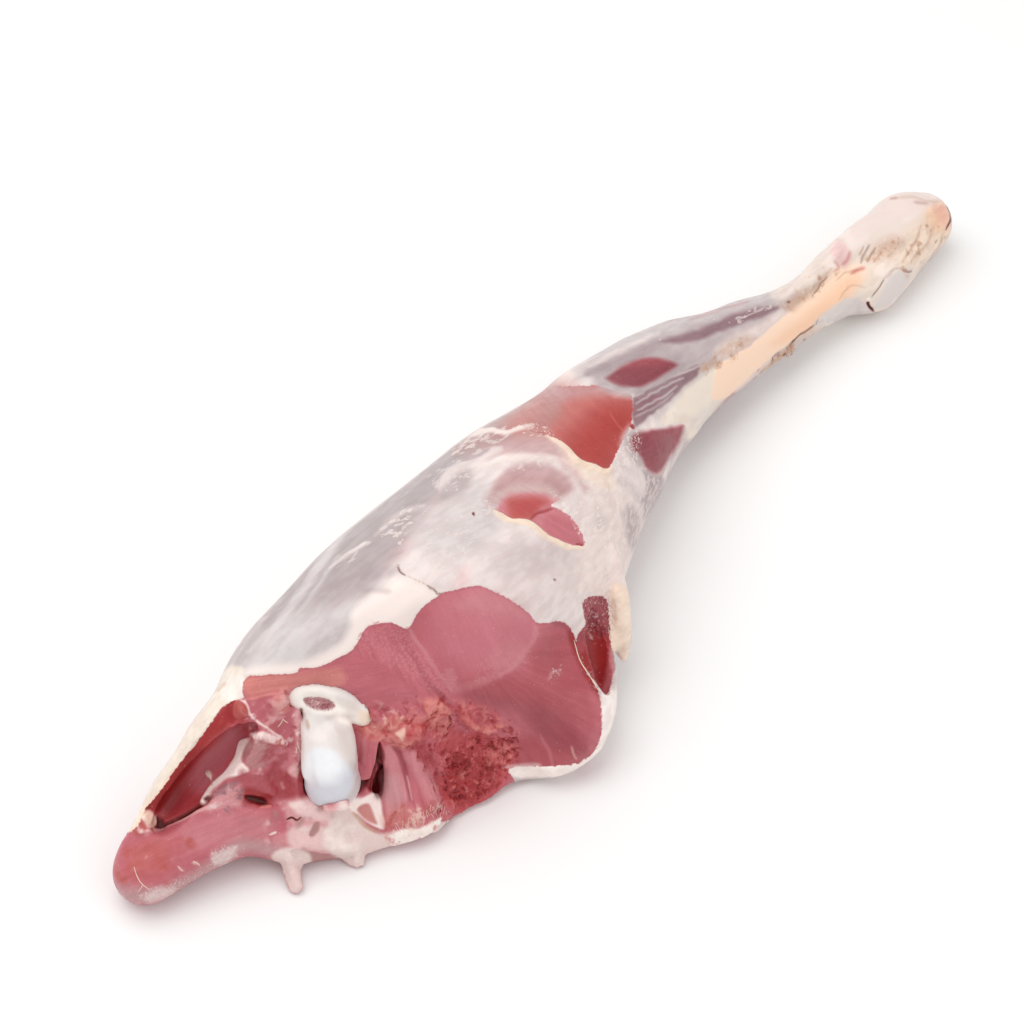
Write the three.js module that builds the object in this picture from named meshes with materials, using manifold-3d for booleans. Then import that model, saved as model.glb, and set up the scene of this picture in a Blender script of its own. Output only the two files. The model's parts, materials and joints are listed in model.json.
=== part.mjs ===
// A raw hind leg of a young goat, skinned, cut from the pelvis and lying on its outer side.
// Millimetres, +Z up, +X from the cut end to the hock, -Y towards the knee side.
// One solid is the meat with its fascia, fat, shank and hock. The other is the thigh bone,
// whose head and neck stand free in the cut face and whose shaft runs on to the knee.
import * as THREE from 'three';
import { mergeVertices } from 'three/addons/utils/BufferGeometryUtils.js';
import Module from 'manifold-3d';

const wasm = await Module();
wasm.setup();

const { clamp, lerp, smoothstep } = THREE.MathUtils;
const vec = (x, y, z) => new THREE.Vector3(x, y, z);

// ---------------------------------------------------------------- driving dimensions
const THIGH_JOIN = 14;       // how widely the thigh's muscles run into each other
const SHANK_JOIN = 8;        // the same for the shank and the hock
const TONGUE_JOIN = 5;       // the same for the tongue of meat under the pelvis bed
const CORD_JOIN = 2;         // the same for the heel cord, which stays clear of the shin
const REST_ROUNDING = 6;     // rounding where the meat sags onto the table
const CUT_ROUNDING = 7;      // rounding of the edge between the cut face and the outside
const BONE_GAP = 0.35;       // clearance round the thigh bone
const SAMPLES = 6;           // straight pieces between two stations of a muscle
const SEARCH_REACH = 130;    // how far out from the core line the surface is looked for
const REST_HEIGHT = 0.5;     // where the underside is pressed flat, over the lowest reach of the muscles

// Stations are [x, y, z, radius]: the middle line and thickness of each muscle or sinew.
const MUSCLES = {
  hamstring: [[34, -10, 18, 11.5], [58, -13, 29, 18], [84, -15.5, 36, 23.5], [115, -12, 39, 31.5],
    [155, -9, 39, 34.5], [215, -4, 38, 32], [270, 3, 31, 25.5], [310, 7, 27, 19.5]],
  inner_thigh: [[70, -16, 44, 14], [105, -22, 44, 26], [155, -30, 44, 36], [215, -20, 38, 31],
    [265, -6, 32, 24]],
  outer_thigh: [[64, -12, 16, 14], [100, -18, 16, 19], [155, -24, 20, 25], [215, -14, 20, 24.5],
    [270, 0, 17, 19.5], [310, 5, 18, 17]],
  knee_side: [[122, -50, 22, 22], [152, -62, 23, 23], [172, -70.5, 17, 20.5], [203, -42, 25, 21],
    [250, -17, 26, 18], [300, -1, 25, 15.5]],
  foot: [[76, -36, 13, 13], [98, -49, 13, 16], [128, -58, 13, 15.5], [145, -54, 13, 14]],
  calf: [[285, 9, 29, 21], [325, 9, 28, 17.5], [360, 5, 24, 12], [400, 2, 20, 6]],
  shin: [[285, -0.5, 24, 15], [325, -2.5, 22, 12], [365, -3.5, 18, 9.8], [400, -5.5, 16, 8.5],
    [440, -9.5, 13, 10]],
  heel_cord: [[365, 5, 23, 6], [400, 0, 23, 5.5], [430, 2, 22, 7], [452, -0.5, 21, 10]],
  hock: [[436, -13, 11, 10.5], [455, -6, 14, 15.5], [470, -3, 15, 16], [480, -5, 14, 13.5]],
  tongue: [[29, -10, 11, 11.5], [48, -14, 13.5, 12], [72, -23.5, 16, 11.5], [96, -40, 12, 10]],
};

// The muscles that the cut goes through, and those below the knee.
const THIGH = ['hamstring', 'inner_thigh', 'outer_thigh', 'knee_side', 'foot'];
const SHANK = ['calf', 'shin', 'hock'];

// The cut face leans back from its foot. Places on it are [along, up] from its base point.
const CUT = { base: vec(97, -55, 0), along: vec(0.888, -0.46, 0).normalize() };
CUT.out = vec(-0.46, -0.888, 0.53).normalize();
CUT.up = new THREE.Vector3().crossVectors(CUT.along, CUT.out).negate();

// Forms of the cut face: a rise, or a hollow where the height is negative, along a line.
const FACE_FORMS = {
  apron: { from: [-40, 2], to: [4, 2], width: 28, height: 9 },
  bed_shelf: { from: [-40, 36], to: [-34, 58], width: 11, height: 4 },
  draining_bundle: { from: [16, 12], to: [18, 40], width: 12, height: 4 },
  torn_foot: { from: [22, -3], to: [44, -3], width: 20, height: 6 },
  torn_bed: { from: [40, 26], to: [56, 22], width: 24, height: -6 },
  upper_band: { from: [-20, 68], to: [25, 60], width: 16, height: 2 },
  muscle_seam: { from: [25, 74], to: [38, 46], width: 7, height: -3 },
  great_lobe: { from: [52, 58], to: [74, 36], width: 34, height: 7 },
  lobe_foot: { from: [70, 12], to: [86, 14], width: 18, height: 6 },
};

// Hollows scooped out of the cut end: a ball stretched from one [along, up, raised] to another.
const HOLLOWS = {
  pelvis_bed: { from: [-76, 28, -1], to: [-32, 60, -1], half_width: 7, depth: 12 },
  deep_pit: { from: [-46, 27, -1], to: [-30, 29, -1], half_width: 4, depth: 8 },
  right_crevice: { from: [3, 16, 0], to: [6, 46, 0], half_width: 4, depth: 9 },
  flank_pocket: { from: [89, 27, -4], to: [98, 58, -20], half_width: 6, depth: 8 },
};

// Loose fat and skin that stands off the meat: its two ends and two other half axes.
const SHREDS = {
  flank_flap: { from: vec(226, -48, 50), to: vec(209, -71.5, 14), half_width: 4.5, depth: 3.2 },
  first_fat_tip: { from: vec(78, -29, 9), to: vec(61.5, -49.5, 0.8), half_width: 4, depth: 2.6 },
  second_fat_tip: { from: vec(88, -41, 8), to: vec(85.5, -58.5, 1), half_width: 4.5, depth: 2.6 },
  shank_scrap: { from: vec(366, -1.5, 14), to: vec(384, -12.5, 9.5), half_width: 2.6, depth: 2.2 },
};

// The thigh bone: a ball on a broad neck, a knob that the saw has opened, and the shaft that runs
// to the knee. Places are [along, up, raised]. Turned profiles are [share of the length, radius].
const BONE = {
  head: { place: [-12, 30.5, 3], radius: 10 },
  neck: { place: [-9.5, 55, -5], profile: [[-0.1, 0], [0, 8.4], [0.5, 8], [0.9, 9], [1.15, 7], [1.25, 0]] },
  knob: { from: [-23, 67, -4], to: [5, 53, -4], half_width: 7.5, depth: 8 },
  ligament: { from: [-6, 57, -3], to: [14, 46.5, -3], half_width: 4.5, depth: 4.5 },
  marrow: { from: [-17.5, 64.5, 2.5], to: [-4.5, 57, 2.5], half_width: 3, depth: 1.8 },
  saw: { over: [-8, 64, 12.5], size: [60, 24, 20] },
  shaft: { start: [-8, 56, -12], knee: vec(270, 3, 31),
    profile: [[-0.04, 0], [0, 7.7], [0.08, 7], [0.8, 7], [0.93, 12], [1, 10.2], [1.04, 0]] },
};

// A block under the leg, wider than it is, whose top presses the underside flat.
const TABLE = { x: 250, width: 700, depth: 20 };

// ---------------------------------------------------------------- distance fields
function smoothUnion(a, b, k) {
  const h = Math.max(k - Math.abs(a - b), 0) / k;
  return Math.min(a, b) - (h * h * k) / 4;
}
const smoothOverlap = (a, b, k) => -smoothUnion(-a, -b, k);

// Points and radii along a smooth curve through the stations.
function strand(stations) {
  const line = new THREE.CatmullRomCurve3(stations.map(([x, y, z]) => vec(x, y, z)), false, 'centripetal');
  const pieces = (stations.length - 1) * SAMPLES;
  const points = [];
  for (let i = 0; i <= pieces; i += 1) {
    const t = i / pieces * (stations.length - 1);
    const k = Math.min(Math.floor(t), stations.length - 2);
    const radius = lerp(stations[k][3], stations[k + 1][3], smoothstep(t - k, 0, 1));
    const { x, y, z } = line.getPoint(i / pieces);
    points.push([x, y, z, radius]);
  }
  return points;
}

function strandDistance(points, p) {
  let nearest = Infinity;
  for (let i = 1; i < points.length; i += 1) {
    const [ax, ay, az, ar] = points[i - 1];
    const [bx, by, bz, br] = points[i];
    const dx = bx - ax;
    const dy = by - ay;
    const dz = bz - az;
    const along = (p.x - ax) * dx + (p.y - ay) * dy + (p.z - az) * dz;
    const t = clamp(along / (dx * dx + dy * dy + dz * dz), 0, 1);
    const reach = Math.hypot(p.x - ax - dx * t, p.y - ay - dy * t, p.z - az - dz * t);
    nearest = Math.min(nearest, reach - lerp(ar, br, t));
  }
  return nearest;
}

const STRANDS = Object.fromEntries(
  Object.entries(MUSCLES).map(([name, stations]) => [name, strand(stations)]),
);

// The height of the cut face over its plane at a place [s, t] on it.
function faceRelief(s, t) {
  let height = 0;
  for (const form of Object.values(FACE_FORMS)) {
    const [s0, t0] = form.from;
    const ds = form.to[0] - s0;
    const dt = form.to[1] - t0;
    const k = clamp(((s - s0) * ds + (t - t0) * dt) / (ds * ds + dt * dt), 0, 1);
    const off = Math.hypot(s - s0 - ds * k, t - t0 - dt * k) / form.width;
    if (off < 1) height += form.height * (1 - off * off) ** 2;
  }
  return height;
}

function meatDistance(p) {
  let d = Infinity;
  for (const name of THIGH) d = smoothUnion(d, strandDistance(STRANDS[name], p), THIGH_JOIN);
  const fromBase = p.clone().sub(CUT.base);
  const face = fromBase.dot(CUT.out) - faceRelief(fromBase.dot(CUT.along), fromBase.dot(CUT.up));
  d = smoothOverlap(d, face, CUT_ROUNDING);
  d = smoothUnion(d, strandDistance(STRANDS.tongue, p), TONGUE_JOIN);
  for (const name of SHANK) d = smoothUnion(d, strandDistance(STRANDS[name], p), SHANK_JOIN);
  d = smoothUnion(d, strandDistance(STRANDS.heel_cord, p), CORD_JOIN);
  return smoothOverlap(d, -p.z, REST_ROUNDING);
}

// ---------------------------------------------------------------- wrapping a field with a closed skin
const CORE = [[34, -9, 12], [60, -10, 18], [100, -18, 25], [150, -28, 28], [210, -18, 31],
  [280, 0, 27], [340, 3, 22], [410, 0, 18], [470, -4, 15]];

// The core line's point at a given x.
function coreAt(x) {
  const last = CORE.length - 2;
  const i = clamp(CORE.findIndex(([end]) => end >= x) - 1, 0, last);
  const [ax, ay, az] = CORE[i];
  const [bx, by, bz] = CORE[i + 1];
  const t = smoothstep((x - ax) / (bx - ax), 0, 1);
  return vec(x, lerp(ay, by, t), lerp(az, bz, t));
}

function surfaceReach(field, from, ray) {
  const at = (reach) => field(from.clone().addScaledVector(ray, reach));
  let outside = SEARCH_REACH;
  let inside = outside;
  for (let d = at(inside); d > 0 && inside > 0.5; d = at(inside)) {
    outside = inside;
    inside -= Math.max(d * 0.6, 0.4);
  }
  for (let i = 0; i < 10; i += 1) {
    const middle = (inside + outside) / 2;
    if (at(middle) > 0) outside = middle;
    else inside = middle;
  }
  return Math.max((inside + outside) / 2, 0.3);
}

const DENSE_TURN = 0.62 * Math.PI;

// A unit sphere whose rows become sections across the leg and whose two caps close its ends.
function wrap(field, { along, around, capRows, spread, crowd }) {
  const sphere = new THREE.SphereGeometry(1, around, along);
  sphere.deleteAttribute('normal');
  sphere.deleteAttribute('uv');
  const place = sphere.getAttribute('position');
  const first = CORE[0][0];
  const last = CORE.at(-1)[0];
  for (let row = 0; row <= along; row += 1) {
    const tilt = (Math.max(1 - row / capRows, 0) - Math.max(1 - (along - row) / capRows, 0)) * Math.PI / 2;
    const t = clamp((row - capRows) / (along - 2 * capRows), 0, 1);
    const centre = coreAt(lerp(first, last, spread(t)));
    for (let column = 0; column <= around; column += 1) {
      const even = (column % around) / around * 2 * Math.PI;
      const turn = even - crowd * Math.sin(even - DENSE_TURN);
      const ray = vec(-Math.sin(tilt), -Math.cos(tilt) * Math.sin(turn), -Math.cos(tilt) * Math.cos(turn));
      const skin = centre.clone().addScaledVector(ray, surfaceReach(field, centre, ray));
      place.setXYZ(row * (around + 1) + column, skin.x, skin.y, skin.z);
    }
  }
  return mergeVertices(sphere, 1e-4);
}

// ---------------------------------------------------------------- joining and cutting
function solidOf(geometry) {
  const plain = geometry.clone();
  plain.deleteAttribute('normal');
  plain.deleteAttribute('uv');
  const merged = mergeVertices(plain, 1e-4);
  return new wasm.Manifold(new wasm.Mesh({
    numProp: 3,
    vertProperties: merged.getAttribute('position').array,
    triVerts: new Uint32Array(merged.index.array),
  }));
}

function geometryOf(solid) {
  const mesh = solid.getMesh();
  const geometry = new THREE.BufferGeometry();
  geometry.setAttribute('position', new THREE.BufferAttribute(mesh.vertProperties, 3));
  geometry.setIndex(new THREE.BufferAttribute(mesh.triVerts, 1));
  return geometry;
}

// The point at a place [along, up, raised] on the cut face.
function onCut([s, t, raised]) {
  const foot = CUT.base.clone().addScaledVector(CUT.along, s);
  return foot.addScaledVector(CUT.up, t).addScaledVector(CUT.out, raised);
}

// A ball stretched from one point to another, with its two other half axes given.
function stretchedBall(from, to, halfWidth, halfDepth, depthAxis, around, rows) {
  const length = to.clone().sub(from);
  const x = length.clone().normalize();
  const z = depthAxis.clone().addScaledVector(x, -depthAxis.dot(x)).normalize();
  const y = new THREE.Vector3().crossVectors(z, x);
  const centre = from.clone().add(to).multiplyScalar(0.5);
  const ball = new THREE.SphereGeometry(1, around, rows);
  ball.rotateZ(Math.PI / 2);
  ball.scale(length.length() / 2, halfWidth, halfDepth);
  return ball.applyMatrix4(new THREE.Matrix4().makeBasis(x, y, z).setPosition(centre));
}

// A turned bar between two points, from a profile of [share of its length, radius].
function turnedBar(from, to, profile, grow, around) {
  const axis = to.clone().sub(from);
  const length = axis.length();
  const outline = profile.map(([share, radius], i) => {
    if (i === 0) return new THREE.Vector2(0, share * length - grow);
    if (i === profile.length - 1) return new THREE.Vector2(0, share * length + grow);
    return new THREE.Vector2(radius + grow, share * length);
  });
  const bar = new THREE.LatheGeometry(outline, around);
  const turn = new THREE.Quaternion().setFromUnitVectors(vec(0, 1, 0), axis.normalize());
  return bar.applyQuaternion(turn).translate(from.x, from.y, from.z);
}

// A stretched ball on the cut face, made larger all round by grow.
function faceBall({ from, to, half_width: halfWidth, depth }, grow, around, rows) {
  return stretchedBall(onCut(from), onCut(to), halfWidth + grow, depth + grow, CUT.out, around, rows);
}

// The thigh bone, made larger all round by grow to cut its bed in the meat.
function thighBone(grow) {
  const { head, neck, knob, ligament, marrow, saw, shaft } = BONE;
  const headAt = onCut(head.place);
  const parts = [
    new THREE.SphereGeometry(head.radius + grow, 22, 14).translate(...headAt.toArray()),
    turnedBar(headAt, onCut(neck.place), neck.profile, grow, 18),
    faceBall(knob, grow, 16, 11),
    faceBall(ligament, grow, 12, 9),
    turnedBar(onCut(shaft.start), shaft.knee, shaft.profile, grow, 10),
  ];
  const bone = parts.map(solidOf).reduce((whole, piece) => whole.add(piece));
  if (grow > 0) return bone;
  const cut = new THREE.BoxGeometry(...saw.size);
  cut.applyMatrix4(new THREE.Matrix4().makeBasis(CUT.along, CUT.up, CUT.out).setPosition(onCut(saw.over)));
  return bone.subtract(solidOf(cut)).subtract(solidOf(faceBall(marrow, 0, 14, 9)));
}

// ---------------------------------------------------------------- the leg
const closerAtCut = (t) => t * (0.72 + 0.28 * t);

function meatSolid() {
  const skin = wrap(meatDistance, { along: 78, around: 50, capRows: 7, spread: closerAtCut, crowd: 0.35 });
  let solid = solidOf(skin);
  for (const hollow of Object.values(HOLLOWS)) solid = solid.subtract(solidOf(faceBall(hollow, 0, 16, 12)));
  for (const { from, to, half_width: halfWidth, depth } of Object.values(SHREDS)) {
    solid = solid.add(solidOf(stretchedBall(from, to, halfWidth, depth, CUT.out, 8, 9)));
  }
  const table = new THREE.BoxGeometry(TABLE.width, TABLE.width, TABLE.depth);
  table.translate(TABLE.x, 0, REST_HEIGHT - TABLE.depth / 2);
  return solid.subtract(thighBone(BONE_GAP)).subtract(solidOf(table));
}

function pieceOf(name, solid, color, roughness) {
  const finish = new THREE.MeshStandardMaterial({ color, roughness, metalness: 0 });
  const piece = new THREE.Mesh(geometryOf(solid), finish);
  piece.name = name;
  return piece;
}

const leg = new THREE.Group();
leg.add(pieceOf('leg_meat', meatSolid(), 0xd9b8b0, 0.5));
leg.add(pieceOf('thigh_bone', thighBone(0), 0xece6de, 0.35));

// The origin is the middle of the leg's box, on the surface that it lies on.
const box = new THREE.Box3().setFromObject(leg, true);
const middle = box.getCenter(new THREE.Vector3());
leg.position.set(-middle.x, -middle.y, -box.min.z);
leg.updateMatrixWorld(true);

export default leg;
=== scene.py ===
"""A raw kid goat leg, skinned and cut from the pelvis, lying on a pale floor in soft light."""
import json
from math import cos, radians, sin
from typing import NamedTuple

import bpy
import numpy as np
from mathutils import Matrix, Vector
from mathutils.bvhtree import BVHTree

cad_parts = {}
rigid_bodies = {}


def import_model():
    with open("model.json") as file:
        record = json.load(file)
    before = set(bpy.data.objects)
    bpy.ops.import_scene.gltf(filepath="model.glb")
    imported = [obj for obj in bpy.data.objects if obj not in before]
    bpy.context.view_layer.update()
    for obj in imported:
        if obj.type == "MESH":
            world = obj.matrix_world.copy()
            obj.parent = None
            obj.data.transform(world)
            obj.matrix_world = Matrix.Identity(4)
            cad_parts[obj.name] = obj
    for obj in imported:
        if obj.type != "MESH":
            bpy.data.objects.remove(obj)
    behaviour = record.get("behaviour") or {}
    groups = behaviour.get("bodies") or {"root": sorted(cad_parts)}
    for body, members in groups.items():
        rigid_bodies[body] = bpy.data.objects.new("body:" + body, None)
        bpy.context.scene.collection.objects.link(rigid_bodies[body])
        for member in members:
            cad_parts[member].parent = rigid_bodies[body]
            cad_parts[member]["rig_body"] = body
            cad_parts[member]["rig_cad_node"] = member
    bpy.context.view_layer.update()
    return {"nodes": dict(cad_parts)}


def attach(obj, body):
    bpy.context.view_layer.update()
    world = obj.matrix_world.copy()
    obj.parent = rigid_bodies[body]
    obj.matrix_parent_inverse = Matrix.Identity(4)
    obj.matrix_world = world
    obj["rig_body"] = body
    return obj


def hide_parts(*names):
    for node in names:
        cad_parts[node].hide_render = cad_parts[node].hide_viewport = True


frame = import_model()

bl_info = {
    "name": "Raw kid goat leg",
    "version": (1, 0, 0),
    "blender": (4, 5, 0),
    "location": "View3D > Sidebar > Goat leg",
    "description": "Dresses the packed solids of a raw kid goat leg as meat, fascia, fat and bone",
    "category": "Object",
}

MM = 0.001

# ------------------------------------------------------------------ the photograph's view
PHOTO_SIDE = 1024                       # pixels
CAMERA_TURN = radians(47)               # how far the view is turned from the leg's long axis
CAMERA_TILT = radians(48)               # how far it looks down
CAMERA_DISTANCE = 0.930
CAMERA_LENS = 86.0
CAMERA_SENSOR = 36.0
CAMERA_AIM = np.array((-0.0305, 0.0295, 0.0295))
PIXEL_MM = 0.35                         # what one pixel spans on the leg

VIEW_RIGHT = np.array((cos(CAMERA_TURN), -sin(CAMERA_TURN), 0))
VIEW_AHEAD = np.array((
    sin(CAMERA_TURN) * cos(CAMERA_TILT), cos(CAMERA_TURN) * cos(CAMERA_TILT), -sin(CAMERA_TILT)))
VIEW_UP = np.cross(VIEW_RIGHT, VIEW_AHEAD)
CAMERA_PLACE = CAMERA_AIM - VIEW_AHEAD * CAMERA_DISTANCE
FOCAL = CAMERA_LENS / CAMERA_SENSOR * PHOTO_SIDE
FLOOR_SIZE = 8
ROOM_LIGHT = 0.75

# The softboxes: size, power, and how many metres they are to the right, up and ahead of the leg in the view.
LIGHTS = {
    "overhead_softbox": (1.3, 9.0, -0.45, 0.9, -0.75),
    "front_softbox": (1.0, 2.5, 0.8, 0.1, -1.1),
}

# ------------------------------------------------------------------ places on the frame
CUT_BASE = np.array((-0.1585, -0.0255, 0))          # the foot of the cut face
CUT_OUT = np.array((-0.4064, -0.7846, 0.4683))      # the way that the cut face looks
SHAFT_START = Vector((-0.1290, 0.0135, 0.0417))     # where the thigh bone is deep in the meat
SHAFT_END = Vector((0.0175, 0.0327, 0.0302))        # the knee
SHAFT_RADIUS = 0.0088
KNEE_RADIUS = 0.0140
CUT_REACH = 0.040           # how far behind the cut's plane its hollows reach
HOLLOW_DEPTH = 45           # millimetres behind that plane in which what faces the view is bare muscle
KNEE_X = 0.064              # where the shank is parted from the thigh
BARE_EDGE = -1.5            # how far under the fascia the cut face's piece reaches, in millimetres
BONE_GAP = 2.2 * MM         # the widest gap by the bone that the meat closes
BACK_SHARE = 0.56           # the share of the faces that is kept when the side that faces away is thinned
BARE_REACH = 25             # how many pixels to each side of its outline bare muscle is measured
TONGUE_ALONG = (-178, -186) # millimetres along the leg between which the tongue sets in
TONGUE_TOP = (30, 24)       # millimetres of height between which its bare side ends
GRAZING = (0.02, 0.16)      # how far a point faces the camera when it starts to show and shows in full

# What covers the leg all round, how strongly, and from where to where along the leg it sets in.
COVER_BANDS = (("sheen", 0.8, 0.035, 0.075), ("cream", 0.8, 0.115, 0.160), ("hock", 1, 0.160, 0.190))
THIGH_FADES = (0.10, 0.15)      # where along the leg the thigh's clouds and mauve end


# ------------------------------------------------------------------ colours
def linear(code):
    """An sRGB hex colour as linear red, green and blue."""
    shares = [int(code[i:i + 2], 16) / 255 for i in (1, 3, 5)]
    return tuple(c / 12.92 if c <= 0.04045 else ((c + 0.055) / 1.055) ** 2.4 for c in shares)


def tint(name, description, code):
    return bpy.props.FloatVectorProperty(
        name=name, description=description, default=linear(code), size=3, min=0, max=1, subtype="COLOR")


class LegColours(bpy.types.PropertyGroup):
    """The colours of the leg, read from the photograph."""
    lean: tint("Lean", "Freshly cut muscle", "#C27079")
    lean_light: tint("Light lean", "Muscle turned to the light", "#C87F89")
    lean_pale: tint("Pale lean", "Muscle under a trace of film", "#CC898E")
    salmon: tint("Salmon", "The warm upper band of the cut", "#D18981")
    lean_dark: tint("Dark lean", "Muscle in shade", "#AD5B61")
    lean_deep: tint("Deep lean", "The darkest cut muscle", "#995057")
    orange: tint("Orange", "Warm torn tissue by the joint", "#DC8C84")
    ember: tint("Ember", "Bare muscle in the windows", "#B04B47")
    rose: tint("Rose", "Bare muscle with a thin film", "#B9625D")
    torn: tint("Torn red", "Torn muscle at the foot of the cut", "#B95357")
    blood: tint("Blood red", "Wet hollow", "#9A3A3B")
    # a dark blood red, used as painted shade on the bed's dark sides, in torn holes and crevices
    gore: tint("Gore", "The dark side of the pelvis's bed", "#7C2B2D")
    # a near-black red, painted as the shade at the bottom of hollows, creases, slits and cracks
    pit: tint("Pit", "The bottom of a hollow", "#56110E")
    wine: tint("Wine", "Dark muscle over the knee", "#8F4F56")
    plum: tint("Plum", "Muscle seen through silver skin", "#917378")
    mauve: tint("Mauve", "Muscle under fascia", "#C29C9C")
    mauve_deep: tint("Deep mauve", "Muscle under thin fascia", "#B58A87")
    film: tint("Film", "Fascia over the thigh", "#E4D6D2")
    film_white: tint("White film", "Fascia backed by fat", "#F4E5DE")
    pale_grey: tint("Pale grey", "Fascia turned from the light", "#DBD2D0")
    sheen: tint("Sheen", "Silver skin", "#C1B3B2")
    slate: tint("Slate", "Silver skin over dark muscle", "#A89799")
    # silver skin toned darker, as painted shade, where the overhead light falls strongly on the fascia
    dusk: tint("Dusk", "Silver skin turned to the light", "#B3A7A6")
    # grey film; over the rump it is toned darker, as painted shade, where the light falls strongly
    ash: tint("Ash", "Smooth film over the rump", "#CDC5C3")
    fat: tint("Fat", "Opaque fat", "#FCEFE8")
    cream: tint("Cream", "Yellowish fat and tendon", "#EFE1D2")
    lip: tint("Lip", "The torn edge of the fascia", "#F0D9C4")
    peach: tint("Peach", "The bare shin", "#FBDBC3")
    peach_deep: tint("Deep peach", "The bare shin by the hock", "#F5C9AA")
    tissue: tint("Tissue", "Wet pink tissue round the joint", "#E9C0BE")
    membrane: tint("Membrane", "Loose skin under the joint", "#EAD8D1")
    hock: tint("Hock", "Dry skin of the hock", "#E8D8CE")
    brown: tint("Brown", "Dried tissue", "#C29B83")
    umber: tint("Umber", "Dried edge and crack", "#6E4A3E")
    cartilage: tint("Cartilage", "The ball of the joint", "#F0F2F5")
    # the ball's cartilage painted darker grey on its lower side, as painted shade
    cartilage_cool: tint("Cool cartilage", "The ball's lower side", "#D5D5DD")
    ivory: tint("Ivory", "The neck of the bone", "#ECE4E0")
    bone_shade: tint("Shaded bone", "The hollow side of the neck", "#C6B4AE")
    knob: tint("Knob", "The sawn knob of the bone", "#F7EFE8")
    marrow: tint("Marrow", "Spongy bone in the saw cut", "#A8767A")
    floor: tint("Floor", "The pale floor", "#F3F2F1")


def measure(name, description, size):
    return bpy.props.FloatProperty(name=name, description=description, default=size, unit="LENGTH")


class LegSizes(bpy.types.PropertyGroup):
    """The sizes that set how finely the leg is dressed."""
    meat_grain: measure("Meat grain", "Distance between the points of the meat", 1.25 * MM)
    bone_grain: measure("Bone grain", "Distance between the points of the bone", 0.75 * MM)
    cover_depth: measure("Cover depth", "Thickness of the fascia at its torn edge", 0.5 * MM)


# ------------------------------------------------------------------ marks, in photograph pixels
class Mark(NamedTuple):
    """A patch or a stroke of one tissue: its outline or line, its colour, how strong it is, how soft its
    edge is in pixels, how far it stands up in millimetres, and a stroke's half width in pixels."""
    spots: list
    tint: str
    strength: float
    soft: float
    lift: float
    half: float = 0


class Strand(NamedTuple):
    """A rounded strand that lies on the leg: its line, its half width in pixels, and how much of it stands
    out, from 0 for buried to 1 for lying on top."""
    spots: list
    half: float
    rise: float


def table(text, kind=None):
    """Reads a table. Each row has a name, its values, a colon, and the spots of an outline or a line in
    the photograph's pixels, and its further lines are indented."""
    rows = {}
    for row in text.strip().replace("\n  ", " ").split("\n"):
        if row.startswith("#"):
            continue
        words, spots = row.split(":")
        name, *values = words.split()
        values = [value if value[0].isalpha() else float(value) for value in values]
        spots = [tuple(map(float, spot.split(","))) for spot in spots.split()]
        if kind:
            rows[name] = kind(spots, *values)
        else:
            rows[name] = (spots, *values) if values else spots
    return rows


# Where the muscle is bare.
BARE = table("""
cut: 246,678 261,675 294,673 300,668 318,667 337,658 350,651 359,640 367,627 389,622 407,628 417,613 426,604
  441,594 451,591 469,587 480,586 494,592 505,597 519,606 530,615 535,622 546,623 557,621 566,624 573,634
  576,645 582,665 592,681 599,695 601,713 601,725 599,741 591,754 582,760 573,764 550,766 509,768 515,790
  480,830 440,822 400,890 300,905 100,920 90,850 134,831 147,808 165,785 181,762 195,745 212,722 224,706
  237,700 244,698 243,690
pocket: 583,600 604,597 608,612 609,632 611,648 616,658 613,675 608,694 600,690 590,677 580,662 576,650
  577,636 584,624
window_1: 488,500 498,491 509,487 522,485 536,484 548,487 557,493 559,499 551,506 561,511 571,518 578,527
  582,536 584,545 577,546 569,545 558,540 548,536 540,529 530,521 520,519 512,520 503,515 494,509
window_2: 546,388 570,387 598,386 612,390 628,392 632,400 632,415 629,430 622,442 615,455 609,467 603,469
  594,464 583,462 575,455 566,446 556,440 546,437 532,433 520,424 522,405
window_3: 603,379 612,370 623,362 643,355 660,356 672,359 681,365 672,373 658,382 645,389 632,390 618,388
window_4: 628,442 632,433 645,428 667,425 686,423 684,437 679,449 670,462 660,476 650,474 642,467 639,458
  630,452
""")


# Strands of muscle, fat and skin that are one with the meat, laid on the plain solid before it is smoothed.
# Here and in the other tables of strands: half width, rise.
BUNDLES = table("""
bundle_2 9 .4: 388,744 391,760 393,780 391,800 388,815
bundle_3 9 .35: 405,746 413,762 421,780 427,800 430,815
bundle_4 8 .35: 424,746 433,762 442,778 447,796
warm_lobe 8 .6: 358,731 372,735 386,736 400,737 416,733 424,726
warm_clump 7 .45: 426,709 436,707 446,710
warm_ridge 5 .75: 461,705 466,717 476,727 489,730 503,724
knob_side 7 .6: 272,706 279,700 284,695
small_lobe 6 .6: 239,704 242,711 241,717
ball_fold 7 .4: 290,812 302,807 316,812 330,816 346,812
crescent_fold 5 .7: 286,846 305,845 325,847 345,848 362,846
low_fold 5 .5: 275,838 292,835 308,842 326,840 340,836
triangle_left 3.5 .8: 344,808 354,802 365,797 374,793
triangle_right 4 .8: 375,793 380,802 382,815 384,828
mid_band 5 .6: 250,736 262,737 275,740 287,745
mid_bump 9 .35: 286,752 292,764 290,776
neck_left 4 .5: 295,712 297,728 297,744 299,758 298,768
first_tip 7 .5: 288,850 290,862 294,874 297,886 296,893
second_tip 5 .5: 356,848 357,858 357,865
flap 11 .6: 616,584 619,600 620,616 621,632 621,648
heel_notch 5 .5: 838,240 836,250 834,260
shin_scrap 4 .5: 783,356 790,350 793,346
ball_lip 6 .9: 314,809 326,808 340,806 352,801
ligament_lap 6 .55: 354,727 364,730 376,731 386,726 388,717
ligament_top 4 .5: 366,704 376,709 384,715
neck_lap 4 .5: 357,722 359,736 360,750 361,764
ligament_tip 7 .72: 368,711 377,717 387,723 398,728
ligament_low 5 .6: 350,722 358,726 368,728 378,730
""", Strand)

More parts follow.
